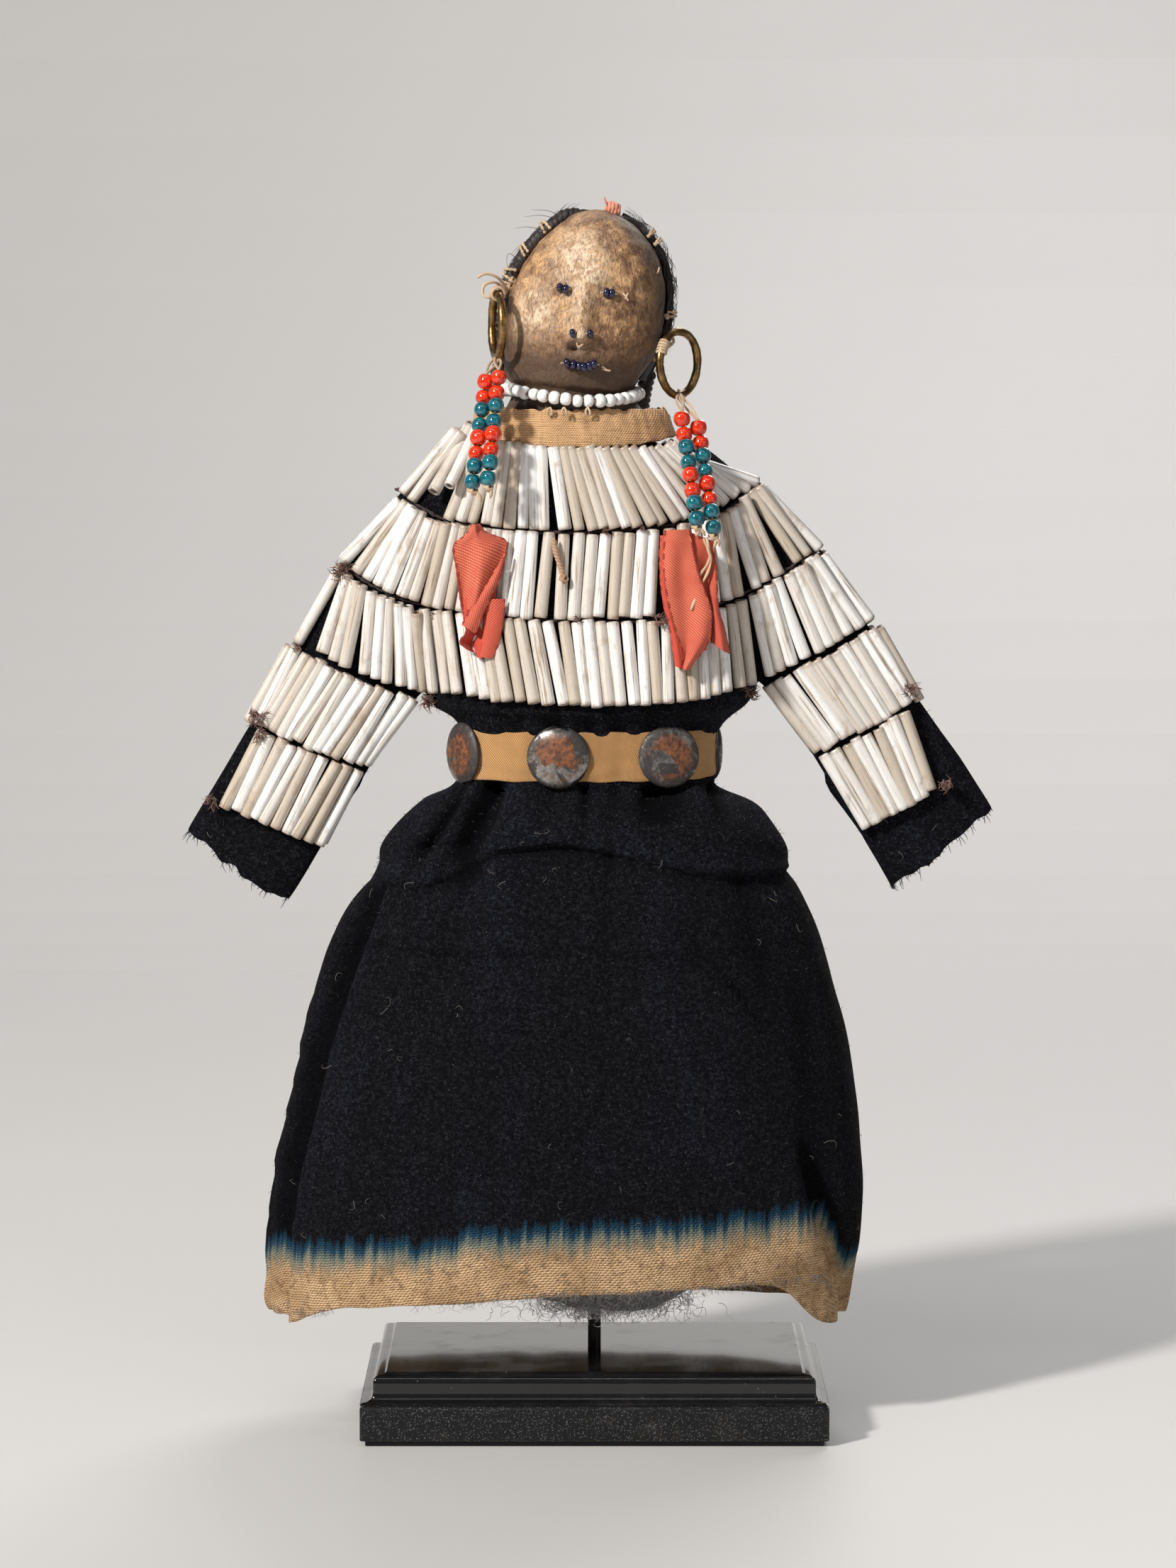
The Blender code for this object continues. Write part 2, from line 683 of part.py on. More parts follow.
def add_bead_faces(bm, top, joined, foot, shoulders_top, shoulders_foot, parted):
    (tlb, tlv), (trb, trv) = top
    (jlb, jlv), (jrb, jrv) = joined
    (flb, flv), (frb, frv) = foot
    slt, srt = shoulders_top
    slf, srf = shoulders_foot
    bm.faces.new((tlb, tlv, slt, srt, trv, trb))
    bm.faces.new((flb, frb, frv, srf, slf, flv))
    bm.faces.new((slt, slf, srf, srt))
    if parted:
        bm.faces.new((tlv, jlv, flv, slf, slt))
        bm.faces.new((srt, srf, frv, jrv, trv))
        bm.faces.new((tlb, trb, jrb, frb, flb, jlb))
        bm.faces.new((jlb, flb, flv, jlv))
        bm.faces.new((jrb, jrv, frv, frb))
    else:
        bm.faces.new((tlv, jlv, slf, slt))
        bm.faces.new((srt, srf, jrv, trv))
        bm.faces.new((tlb, trb, jrb, jlb))


def close_row_end(bm, is_end, top, joined):
    """The outer side of a row's first or last bead."""
    if is_end:
        bm.faces.new((top[0], top[1], joined[1], joined[0]))


def cape_flat_line(row, edges):
    return [row_point(share, row, edges) for share in spaced(0, 1, 121)]


def sleeve_flat_line(side, row, edges, from_outer=0.0):
    outer, inner = at_length(edges[side], row * ROW_PITCH), inner_edge_point(side, row)
    return [outer.lerp(inner, w) for w in spaced(from_outer, 1, 61)]


def make_bead_rows(mats, surface, edges):
    """Three rows right across the front and back, and two more on each sleeve."""
    trim = TUBE_GAP / ROW_PITCH
    for facing, word, packing, join in ((-1, "front", FRONT_PACKING, TUBE_JOIN_SHARE), (1, "back", BACK_PACKING, 1.0)):
        for row in range(3):
            top, bottom = cape_flat_line(row + trim, edges), cape_flat_line(row + 1 - trim, edges)
            bm = bead_row(surface, top, bottom, facing, packing[row], join)
            place(f"tube_row_{row + 1}_{word}", bm, mats["white"])
        for side, hand in ((-1, "left"), (1, "right")):
            for row in (3, 4):
                start = BARE_CUFF_SHARE[side] if row == 4 else 0.0
                top = sleeve_flat_line(side, row + trim, edges, start)
                bottom = sleeve_flat_line(side, row + 1 - trim, edges, start)
                bm = bead_row(surface, top, bottom, facing, packing[row], join)
                place(f"{hand}_sleeve_row_{row + 1}_{word}", bm, mats["white"])


# Belt


def waist_ring(grow, z):
    """The cloth's section under the belt, grown outwards, as one ring of points."""
    station = (z, WAIST_LEFT + grow, WAIST_RIGHT + grow, WAIST_DEPTH + grow, 0.0, 0.0)
    front = body_line(station, -1, FRONT_COLUMNS)
    back = body_line(station, 1, BACK_COLUMNS)
    return front + back[-2:0:-1]


def make_belt(mats):
    inner, outer = GAP, GAP + BELT_THICKNESS
    low, high = BELT_CENTRE_Z - BELT_WIDTH / 2, BELT_CENTRE_Z + BELT_WIDTH / 2
    rings = [waist_ring(inner, low), waist_ring(outer, low), waist_ring(outer, high), waist_ring(inner, high)]
    place("belt", skin(rings, loop=True), mats["twill"], 0.6)


def make_discs(mats):
    """Domed discs at equal steps along the belt, one of them just left of the front's centre."""
    ring = waist_ring(GAP + BELT_THICKNESS, BELT_CENTRE_Z)
    dense = resample([*ring, ring[0]], 721)
    front = min(range(720), key=lambda i: abs(dense[i].x - FIRST_DISC_X) + (1 if dense[i].y > 0 else 0))
    for n in range(DISC_COUNT):
        i = (front + round(720 * n / DISC_COUNT)) % 720
        along = (dense[i + 1] - dense[i - 1 if i else 719]).normalized()
        outward = along.cross(Vector((0, 0, 1))).normalized()
        foot = dense[i] + outward * (GAP + bulge_under_disc(dense, dense[i], outward))
        place(f"belt_disc_{n + 1}", disc(foot, outward), mats["tin"], 0.5)


def bulge_under_disc(ring, centre, outward):
    """How far the belt stands out in front of the disc's centre within the disc's width."""
    near = [p for p in ring if (p - centre).length < DISC_RADIUS]
    return max(0.0, max((p - centre).dot(outward) for p in near))


def disc(foot, outward):
    turn = outward.to_track_quat("Z", "Y").to_matrix()
    rings = []
    for radius, height in ((DISC_RADIUS, 0), (DISC_RADIUS, DISC_EDGE), (0.62 * DISC_RADIUS, DISC_HEIGHT * 0.85)):
        ring = ellipse((0, 0, height), radius, radius, 12)
        rings.append([foot + turn @ p for p in ring])
    return skin(rings)


# Hide body


def head_ring(share, count, grow=0.0):
    """A section of the head, share from 0 at the chin to 1 at the crown, leaning as the head does.

    The front carries a nose ridge, and the cheeks are full above a narrower jaw."""
    shares = [section[0] for section in HEAD_SECTIONS]
    left, right, deep = (float(np.interp(share, shares, [section[k] for section in HEAD_SECTIONS])) for k in (1, 2, 3))
    half_left, half_right = HEAD_HALF_WIDTH * left + grow, HEAD_HALF_WIDTH * right + grow
    half_depth = HEAD_HALF_DEPTH * (0.12 + 0.88 * deep) + grow
    height = HEAD_HEIGHT * share + (grow if share > 0.98 else 0.0)
    lean = Matrix.Rotation(HEAD_TILT, 3, "Y")
    ring = ellipse(((half_right - half_left) / 2, 0, height), (half_right + half_left) / 2, half_depth, count)
    for p in ring:
        if p.y < 0:
            ridge = math.exp(-((p.x / NOSE_HALF_WIDTH) ** 2) - ((share - NOSE_SHARE) / 0.16) ** 2)
            p.y -= NOSE_PROUD * ridge
    return [Vector((HEAD_CENTRE_X, 0, HEAD_BASE_Z)) + lean @ p for p in ring]


def torso_rings(count):
    """The stuffed body inside the dress, clear of its walls."""
    inset = WALL + BODY_CLEARANCE
    waist = ((WAIST_RIGHT - WAIST_LEFT) / 2, 0)
    waist_x, waist_y = (WAIST_LEFT + WAIST_RIGHT) / 2 - 2 * inset, WAIST_DEPTH - inset - 0.0010
    chest_z = NECK_Z - 2 * ROW_PITCH
    neck_y = NECK_HALF_DEPTH - inset - 0.0030
    return [
        ellipse((*waist, BELT_CENTRE_Z - WAIST_HALF_HEIGHT), waist_x, waist_y, count),
        ellipse((*waist, BELT_CENTRE_Z + WAIST_HALF_HEIGHT), waist_x, waist_y, count),
        ellipse((NECK_CENTRE_X / 2, 0, chest_z - 0.010), waist_x, neck_y, count),
        ellipse((NECK_CENTRE_X, 0, NECK_Z - 0.014), NECK_STEM_HALF_WIDTH * 1.15, neck_y * 0.92, count),
        ellipse((NECK_CENTRE_X, 0, NECK_Z + 0.001), NECK_STEM_HALF_WIDTH * 0.98, neck_y * 0.88, count),
        ellipse((HEAD_CENTRE_X, 0, NECK_Z + 0.010), NECK_STEM_HALF_WIDTH, NECK_STEM_HALF_DEPTH, count),
    ]


def make_hide_body(mats, cutter):
    """Head, neck and body are one piece of stuffed hide."""
    rings = torso_rings(16)
    rings += [head_ring(s, 16) for s in (0.0, 0.10, 0.24, 0.38, 0.55, 0.75, 0.88, 0.96, 1.0)]
    body = place("hide_body", skin(rings), mats["hide"], 0.8)
    drill(body, cutter)


def make_stuffing(mats, cutter):
    """Fleece that fills the skirt and shows below its hem, round the rod."""
    top = BELT_CENTRE_Z - WAIST_HALF_HEIGHT - 2 * GAP
    rings = [ellipse((0.009, -0.006, HEM_FRONT_Z - 0.0080), 0.017, 0.012, 12),
             ellipse((0.008, -0.004, HEM_FRONT_Z - 0.0020), 0.030, 0.020, 12)]
    clearance = WALL + FOLD_SUNK + 0.0050
    for z, left, right, depth, _, _ in reversed(SKIRT_STATIONS[3:]):
        height = max(z, HEM_FRONT_Z + 0.006)
        rings.append(ellipse(((right - left) / 2, 0, height), (left + right) / 2 - clearance, depth - clearance, 12))
    rings.append(ellipse(((WAIST_RIGHT - WAIST_LEFT) / 2, 0, top),
                         (WAIST_LEFT + WAIST_RIGHT) / 2 - clearance, WAIST_DEPTH - WALL - 0.004, 12))
    stuffing = place("skirt_stuffing", skin(rings), mats["fleece"], 0.9)
    drill(stuffing, cutter)


# Neck band and necklace


def neck_band_ring(share, inset, count=24):
    """A ring of the neck band: share 0 is its sewn edge on the dress, and 1 its upper edge."""
    half_width = NECK_HALF_WIDTH - 0.0045 + (BAND_TOP_HALF_WIDTH - NECK_HALF_WIDTH + 0.0045) * share - inset
    half_depth = NECK_HALF_DEPTH + 0.0022 + (BAND_TOP_HALF_DEPTH - NECK_HALF_DEPTH - 0.0022) * share - inset
    centre_x = NECK_CENTRE_X + (BAND_CENTRE_X - NECK_CENTRE_X) * share
    ring = ellipse((centre_x, 0, NECK_Z + 2 * GAP), half_width, half_depth, count)
    for p in ring:
        rise = NECK_EDGE_RISE * (abs(p.x - centre_x) / half_width) ** 2
        p.z += rise + (BAND_HEIGHT - rise) * share
    return ring


def make_neck_band(mats):
    rings = [neck_band_ring(0, 0), neck_band_ring(1, 0),
             neck_band_ring(1, BAND_THICKNESS), neck_band_ring(0, BAND_THICKNESS)]
    place("neck_band", skin(rings, loop=True), mats["muslin"], 0.6)


def string_of_beads(path, radius, sides, closed):
    """Beads strung along a path: every other point is a bead's middle, and the rest are where beads touch."""
    radii = [radius if i % 2 else 0.55 * radius for i in range(len(path))]
    if not closed:
        return skin(tube_rings(path, radii, sides))
    wrapped = [path[-1], *path, path[0]]
    rings = tube_rings(wrapped, [radius, *radii, radius], sides, Vector((0, 0, 1)))[1:-1]
    return skin(rings, loop=True)


def make_necklace(mats):
    half_width = NECK_STEM_HALF_WIDTH + NECKLACE_BEAD_RADIUS + 2 * GAP
    half_depth = HEAD_HALF_DEPTH * 0.90 + NECKLACE_BEAD_RADIUS + 2 * GAP
    loop = ellipse((HEAD_CENTRE_X, 0, NECK_Z + 0.0135), half_width, half_depth, 180)
    length = sum((b - a).length for a, b in zip(loop, [*loop[1:], loop[0]]))
    count = round(length / NECKLACE_PITCH)
    path = resample([*loop, loop[0]], 2 * count + 1)[:-1]
    place("necklace", string_of_beads(path, NECKLACE_BEAD_RADIUS, 4, True), mats["porcelain"], 0.9)


# Earrings and drops


def ear_ring(centre, turn):
    """A ring that hangs upright, turned this far from facing the viewer."""
    facing = Vector((math.sin(turn), -math.cos(turn), 0))
    across = facing.cross(Vector((0, 0, 1))).normalized()
    rings = []
    for i in range(14):
        angle = 2 * math.pi * i / 14
        radial = across * math.cos(angle) + Vector((0, 0, 1)) * math.sin(angle)
        middle = centre + radial * RING_RADIUS
        rings.append([middle + RING_WIRE_RADIUS * (math.cos(a) * radial + math.sin(a) * facing)
                      for a in (2 * math.pi * k / 5 for k in range(5))])
    return skin(rings, loop=True)


def make_drop(surface, hand, strand, top, bottom, mats):
    """One string of a drop: pairs of red and teal beads in turn, each pair a solid of its own."""
    path = resample([Vector(top), Vector(bottom)], 4 * DROP_TURNS + 1)
    lift = 0.0
    for point in path:
        lift = max(lift, point.y + front_reach(surface, point) + DROP_BEAD_RADIUS + 4 * GAP)
    path = [p - Vector((0, lift, 0)) for p in path]
    for turn in range(DROP_TURNS):
        start, end = path[4 * turn], path[4 * turn + 4]
        along = (end - start).normalized()
        line = resample([start + along * GAP / 2, end - along * GAP / 2], 5)
        colour = "teal" if turn % 2 else "red"
        name = f"{hand}_drop_{strand}_{colour}_{turn // 2 + 1}"
        place(name, string_of_beads(line, DROP_BEAD_RADIUS, 5, False), mats[colour], 0.9)


def front_reach(surface, point):
    """How far beads, band and necklace stand out in front at this place, within a bead's width."""
    reach = 0.0
    for dx in (-DROP_BEAD_RADIUS, 0, DROP_BEAD_RADIUS):
        for dz in (-DROP_BEAD_RADIUS, 0, DROP_BEAD_RADIUS):
            cloth = on_dress(surface, point.x + dx, point.z + dz, -1)
            if cloth.y < 0:
                reach = max(reach, -cloth.y + TUBE_HEIGHT)
        across = (point.x + dx - NECK_CENTRE_X) / (NECK_HALF_WIDTH - 0.0030)
        if abs(across) < 1 and point.z > NECK_Z - DROP_BEAD_RADIUS:
            depth = BAND_TOP_HALF_DEPTH + 2 * NECKLACE_BEAD_RADIUS + GAP
            reach = max(reach, depth * math.sqrt(1 - across * across))
    return reach


def make_earrings(mats, surface):
    left = Vector((HEAD_CENTRE_X + EAR_RINGS[-1][0], EAR_RINGS[-1][1], HEAD_BASE_Z + EAR_RINGS[-1][2]))
    right = Vector((HEAD_CENTRE_X + EAR_RINGS[1][0], EAR_RINGS[1][1], HEAD_BASE_Z + EAR_RINGS[1][2]))
    place("left_earring", ear_ring(left, math.radians(-79)), mats["brass"], 0.9)
    place("right_earring", ear_ring(right, math.radians(51)), mats["brass"], 0.9)
    strands = (("left", "outer", (-0.0031, -0.0138), (-0.0069, -0.0454), -0.0020),
               ("left", "inner", (0.0006, -0.0125), (-0.0024, -0.0444), 0.0020),
               ("right", "inner", (0.0003, -0.0139), (0.0048, -0.0454), -0.0010),
               ("right", "outer", (0.0050, -0.0164), (0.0096, -0.0479), 0.0010))
    for hand, strand, (top_x, top_z), (low_x, low_z), back in strands:
        ring = left if hand == "left" else right
        top = ring + Vector((top_x, back, top_z))
        low = ring + Vector((low_x, back + 0.4 * (low_z - top_z), low_z))
        make_drop(surface, hand, strand, top, low, mats)


# Ribbons


def ribbon(surface, line, widths):
    """A strip of silk hanging in front of the beads: points (x, z) with a width at each."""
    rings = []
    for (x, z), width in zip(line, widths):
        reach = max(abs(on_dress(surface, x + dx, z + dz, -1).y)
                    for dx in (-width, 0, width) for dz in (-0.006, 0, 0.006))
        y = -reach - TUBE_HEIGHT - 5 * GAP
        back, front = y, y - RIBBON_THICKNESS
        half = width / 2
        rings.append([Vector((x - half, back, z)), Vector((x + half, back, z)),
                      Vector((x + half, front, z)), Vector((x - half, front, z))])
    return skin(rings)


def make_ribbons(mats, surface):
    left = ((-0.0322, 0.2600), (-0.0325, 0.2560), (-0.0326, 0.2520), (-0.0322, 0.2440),
            (-0.0315, 0.2340), (-0.0312, 0.2270), (-0.0318, 0.2215))
    place("left_ribbon", ribbon(surface, left, (0.004, 0.008, 0.0142, 0.0125, 0.0105, 0.0110, 0.0040)), mats["silk"])
    right = ((0.0270, 0.2560), (0.0268, 0.2500), (0.0272, 0.2400), (0.0285, 0.2300), (0.0270, 0.2250), (0.0246, 0.2190))
    place("right_ribbon", ribbon(surface, right, (0.0120, 0.0150, 0.0150, 0.0170, 0.0130, 0.0030)), mats["silk"])


# Hair


def make_hair(mats):
    """A cap of hair over the back of the head, and two braids along the face's edge that hang behind."""
    count = 36
    shares = (0.10, 0.30, 0.55, 0.75, 0.88, 0.96)
    outer, inner = [], []
    for share in shares:
        for grow, line in ((GAP * 2, inner), (GAP * 2 + HAIR_THICKNESS, outer)):
            ring = head_ring(share, count, grow)
            line.append([p for i, p in enumerate(ring) if 3 <= i <= count // 2 - 4])
    sections = [[*outer_line, *reversed(inner_line)] for outer_line, inner_line in zip(outer, inner)]
    place("hair_cap", skin(sections), mats["hair"], 0.9)
    for side, hand in ((-1, "left"), (1, "right")):
        place(f"{hand}_braid", braid(side), mats["hair"], 0.9)
    crown = head_ring(1.0, 12, 0.0)
    centre = sum(crown, Vector()) / 12 + Vector((CROWN_TIE_SHIFT, -0.0005, GAP * 2))
    rings = [ellipse((centre.x, centre.y, centre.z + h), r, r * 0.8, 8)
             for h, r in ((0.0, 0.0014), (0.0009, 0.0022), (0.0020, 0.0010))]
    place("crown_tie", skin(rings), mats["silk"], 0.9)


def braid(side):
    """From the crown down the head's edge to the ear, then down behind the shoulder."""
    count = 48
    path = []
    stand_off = BRAID_RADIUS + 5 * GAP
    for share, back in ((0.97, 1), (0.90, 1), (0.80, 1), (0.66, 1), (0.50, 2), (0.34, 2)):
        ring = head_ring(share, count, stand_off)
        path.append(ring[back if side > 0 else count // 2 - back - 2])
    ear = path[-1]
    path += [ear + Vector((side * 0.0006, 0.0060, -0.011)),
             Vector((NECK_CENTRE_X + side * 0.026, 0.0215, NECK_Z + 0.0060)),
             Vector((NECK_CENTRE_X + side * 0.024, NECK_HALF_DEPTH + TUBE_HEIGHT + 0.0055, NECK_Z - 0.010)),
             Vector((NECK_CENTRE_X + side * 0.024, NECK_HALF_DEPTH + TUBE_HEIGHT + 0.0065, NECK_Z - 0.030))]
    points = smooth_path(path, 16)
    radii = [BRAID_RADIUS * (0.55 + 0.45 * smoothstep(i / 4)) for i in range(len(points))]
    radii[-1] = 0.5 * BRAID_RADIUS
    return skin(tube_rings(points, radii, 6, Vector((side, 0.2, 0))))


# Face


def face_point(head, x, z):
    hit = head.ray_cast(Vector((x, -1.0, z)), Vector((0, 1, 0)))[0]
    return hit + Vector((0, -SEED_RADIUS - 2 * GAP, 0))


def seed_row(head, x, z, count, lean):
    """Seed beads side by side from this place, along a line that leans as the head does."""
    points = []
    for i in range(2 * count + 1):
        step = (i - count) * SEED_PITCH / 2
        points.append(face_point(head, x + step * math.cos(lean), z - step * math.sin(lean)))
    depth = min(p.y for p in points)
    for p in points:
        p.y = depth
    return string_of_beads(points, SEED_RADIUS, 5, False)


def make_face(mats):
    bm = skin([head_ring(s, 36) for s in spaced(0, 1, 20)])
    head = BVHTree.FromBMesh(bm)
    bm.free()
    for name, aside, share, count in FACE_BEADS:
        x, z = HEAD_CENTRE_X + aside * HEAD_HALF_WIDTH, HEAD_BASE_Z + share * HEAD_HEIGHT
        place(name, seed_row(head, x, z, count, HEAD_TILT), mats["blue"], 0.9)


def main():
    clear_scene()
    mats = make_materials()
    cutter = rod_cutter()
    edges = {side: outer_edge(side) for side in (-1, 1)}
    make_stand(mats, cutter)
    surface = make_dress(mats, edges)
    make_bead_rows(mats, surface, edges)
    make_belt(mats)
    make_discs(mats)
    make_hide_body(mats, cutter)
    make_stuffing(mats, cutter)
    make_neck_band(mats)
    make_necklace(mats)
    make_earrings(mats, surface)
    make_ribbons(mats, surface)
    make_hair(mats)
    make_face(mats)


main()
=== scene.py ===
"""The looks of a hide doll in a wool dress set with rows of tube beads, on its black stand.

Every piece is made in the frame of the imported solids, in metres. The doll faces -Y.
"""

import random
from math import atan2, copysign, cos, exp, pi, radians, sin, sqrt

import bmesh
import bpy
import numpy as np
from mathutils import Matrix, Vector, noise
from mathutils.bvhtree import BVHTree


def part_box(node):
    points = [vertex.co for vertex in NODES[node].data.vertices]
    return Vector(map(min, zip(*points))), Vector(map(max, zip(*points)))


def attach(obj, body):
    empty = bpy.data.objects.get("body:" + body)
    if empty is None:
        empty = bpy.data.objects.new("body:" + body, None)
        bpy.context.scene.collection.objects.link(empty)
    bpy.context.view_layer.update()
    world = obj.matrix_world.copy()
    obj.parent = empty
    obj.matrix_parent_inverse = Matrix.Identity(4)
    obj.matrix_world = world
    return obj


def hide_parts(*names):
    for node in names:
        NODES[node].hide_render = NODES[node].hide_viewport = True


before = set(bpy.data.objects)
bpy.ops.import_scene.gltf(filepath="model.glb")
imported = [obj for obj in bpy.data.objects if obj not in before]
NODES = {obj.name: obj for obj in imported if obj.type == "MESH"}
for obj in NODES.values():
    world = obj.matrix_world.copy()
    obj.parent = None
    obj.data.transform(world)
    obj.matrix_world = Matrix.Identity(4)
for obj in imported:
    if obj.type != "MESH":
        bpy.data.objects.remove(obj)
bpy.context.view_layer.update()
DICE = random.Random(7)

UP = Vector((0, 0, 1))
FRONT = Vector((0, -1, 0))
EYE = Vector((-0.00184, -1.3123, 0.3068))


# Small tools for lines and numbers


def smoothstep(low, high, value):
    """A soft step from 0 at low to 1 at high, which may also lie below it."""
    t = min(1.0, max(0.0, (value - low) / (high - low)))
    return t * t * (3 - 2 * t)


def mm(*points):
    """Points given in millimetres, as vectors in metres."""
    return [Vector(p) / 1000 for p in points]


def curve_through(points, count):
    """Evenly spaced points on a smooth curve through the given ones."""
    points = [Vector(p) for p in points]
    padded = [2 * points[0] - points[1], *points, 2 * points[-1] - points[-2]]
    fine = []
    for a, b, c, d in zip(padded, padded[1:], padded[2:], padded[3:]):
        for t in (k / 16 for k in range(16)):
            fine.append(0.5 * (2 * b + (c - a) * t + (2 * a - 5 * b + 4 * c - d) * t**2
                               + (3 * b - a - 3 * c + d) * t**3))
    fine.append(points[-1])
    return evenly(fine, count)


def evenly(points, count):
    """The same line as evenly spaced points."""
    lengths = [0.0]
    for a, b in zip(points, points[1:]):
        lengths.append(lengths[-1] + (b - a).length)
    wanted = np.linspace(0, lengths[-1], count)
    axes = [np.interp(wanted, lengths, [p[k] for p in points]).tolist() for k in range(3)]
    return [Vector(p) for p in zip(*axes)]


def length_of(points):
    return sum((b - a).length for a, b in zip(points, points[1:]))


def along(points, share):
    """The point at this share of an evenly spaced line."""
    place = min(max(share, 0.0), 1.0) * (len(points) - 1)
    i = min(int(place), len(points) - 2)
    return points[i].lerp(points[i + 1], place - i)


def bend(line, x):
    """Height of a line given as (x, z) in millimetres, at x in metres."""
    return float(np.interp(x * 1000, [p[0] for p in line], [p[1] for p in line])) / 1000


def full_turn(steps):
    """The angles of evenly spaced steps round a full turn."""
    return [2 * pi * k / steps for k in range(steps)]


def rough_at(x, y, z):
    """Smooth noise from -1 to 1 at a place."""
    return noise.noise(Vector((x, y, z)))


def wander(point, scale, amount):
    """A smooth sideways drift that depends on place."""
    p = Vector(point) / scale
    return amount * Vector([noise.noise(p + Vector(shift)) for shift in ((0, 0, 0), (31, 7, 3), (5, 71, 9))])


# Making meshes


class Mould:
    """Collects shapes that become one piece: points, faces, each corner's UV, and a tone for each point."""

    def __init__(self):
        self.points, self.faces, self.uvs, self.tones = [], [], [], []

    def add(self, points, faces, uvs=None, tone=0.5):
        start = len(self.points)
        self.points += [tuple(p) for p in points]
        self.tones += tone if isinstance(tone, list) else [tone] * len(points)
        for k, face in enumerate(faces):
            self.faces.append([start + i for i in face])
            self.uvs.append(uvs[k] if uvs else [(0.0, 0.0)] * len(face))

    def rings(self, rings, tone=0.5, closed=False, span=(1.0, 1.0)):
        """A skin over rings of equally many points, with UVs round and along it."""
        count, total = len(rings[0]), len(rings)
        faces, uvs = [], []
        for r in range(total if closed else total - 1):
            s = (r + 1) % total
            for i in range(count):
                j = (i + 1) % count
                faces.append((r * count + i, r * count + j, s * count + j, s * count + i))
                u, v = i / count * span[0], (i + 1) / count * span[0]
                low, high = r / (total - 1) * span[1], (r + 1) / (total - 1) * span[1]
                uvs.append([(u, low), (v, low), (v, high), (u, high)])
        if not closed:
            for r in (0, total - 1):
                ids = [r * count + i for i in range(count)]
                faces.append(ids if r else list(reversed(ids)))
                uvs.append([(0.5 * span[0], r / (total - 1) * span[1])] * count)
        self.add([p for ring in rings for p in ring], faces, uvs, tone)

    def tube(self, path, radius, sides=8, tone=0.5, closed=False):
        """A tube along a path. Its radius is a number, or one for each point."""
        self.rings(tube_rings(path, radius, sides, closed), tone, closed, span=(1.0, length_of(path) * 1000))

    def cord(self, points, count, radius, sides, tone):
        """A tube along a smooth curve through the given points."""
        self.tube(curve_through(points, count), radius, sides, tone)

    def sheet(self, grid, tone=0.5):
        """An open sheet over a grid of points, with UVs in metres across and along the cloth."""
        rows, columns = len(grid), len(grid[0])
        wide, tall = length_of(grid[0]), length_of([row[0] for row in grid])
        faces, uvs = [], []
        for r in range(rows - 1):
            for c in range(columns - 1):
                faces.append((r * columns + c, (r + 1) * columns + c, (r + 1) * columns + c + 1, r * columns + c + 1))
                u, v = c / (columns - 1) * wide, (c + 1) / (columns - 1) * wide
                low, high = r / (rows - 1) * tall, (r + 1) / (rows - 1) * tall
                uvs.append([(u, low), (u, high), (v, high), (v, low)])
        self.add([p for row in grid for p in row], faces, uvs, tone)

    def mesh(self, name):
        made = bpy.data.meshes.new(name)
        made.from_pydata(self.points, [], self.faces)
        give_uv(made, [c for face in self.uvs for uv in face for c in uv])
        give(made, "tone", self.tones)
        made.validate()
        return made


def tube_rings(path, radius, sides, closed=False, up=None):
    """Rings of points round a path, turned evenly along it, or held by the way that up gives."""
    radii = radius if isinstance(radius, list) else [radius] * len(path)
    rings, side = [], None
    last = len(path) - 1
    for i, point in enumerate(path):
        before = path[i - 1] if i or closed else path[0]
        after = path[(i + 1) % len(path)] if i < last or closed else path[last]
        run = (after - before).normalized()
        if up is not None:
            side = run.cross(up)
        elif side is None:
            side = run.cross(UP if abs(run.z) < 0.8 else FRONT)
        else:
            side = side - run * side.dot(run)
        side = side.normalized()
        other = side.cross(run)
        rings.append([point + radii[i] * (cos(a) * side + sin(a) * other) for a in full_turn(sides)])
    return rings


def finished(obj, mat, replaced=()):
    """Gives a piece its material and its place in the frame."""
    obj.data.materials.clear()
    obj.data.materials.append(mat)
    obj.data.shade_smooth()
    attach(obj, "root")
    if replaced:
        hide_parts(*replaced)
    return obj


def own_name(name):
    """A piece made in place of one solid carries that solid's name with a word added."""
    return f"finished_{name}" if name in NODES else name


def placed(name, data):
    """A new object in the scene."""
    obj = bpy.data.objects.new(name, data)
    bpy.context.scene.collection.objects.link(obj)
    return obj


def give(mesh, name, values, kind="FLOAT"):
    """Sets an attribute of this name on the points of a mesh."""
    mesh.attributes.new(name, kind, "POINT").data.foreach_set("value" if kind == "FLOAT" else "vector", values)


def give_uv(mesh, spread):
    """Sets a mesh's UVs, two numbers for each corner."""
    layer = mesh.uv_layers.active or mesh.uv_layers.new(name="UVMap")
    layer.name = "UVMap"
    layer.data.foreach_set("uv", spread)


def piece(name, shape, mat, replaced=()):
    """Makes one piece of a mesh, or of all that a mould has collected."""
    mesh = faces_out(shape.mesh(name)) if isinstance(shape, Mould) else shape
    return finished(placed(own_name(name), mesh), mat, replaced)


def settle(obj):
    """Applies the modifiers that an object carries, and leaves a plain mesh on it."""
    graph = bpy.context.evaluated_depsgraph_get()
    mesh = bpy.data.meshes.new_from_object(obj.evaluated_get(graph), preserve_all_data_layers=True, depsgraph=graph)
    obj.modifiers.clear()
    obj.data = mesh
    return obj


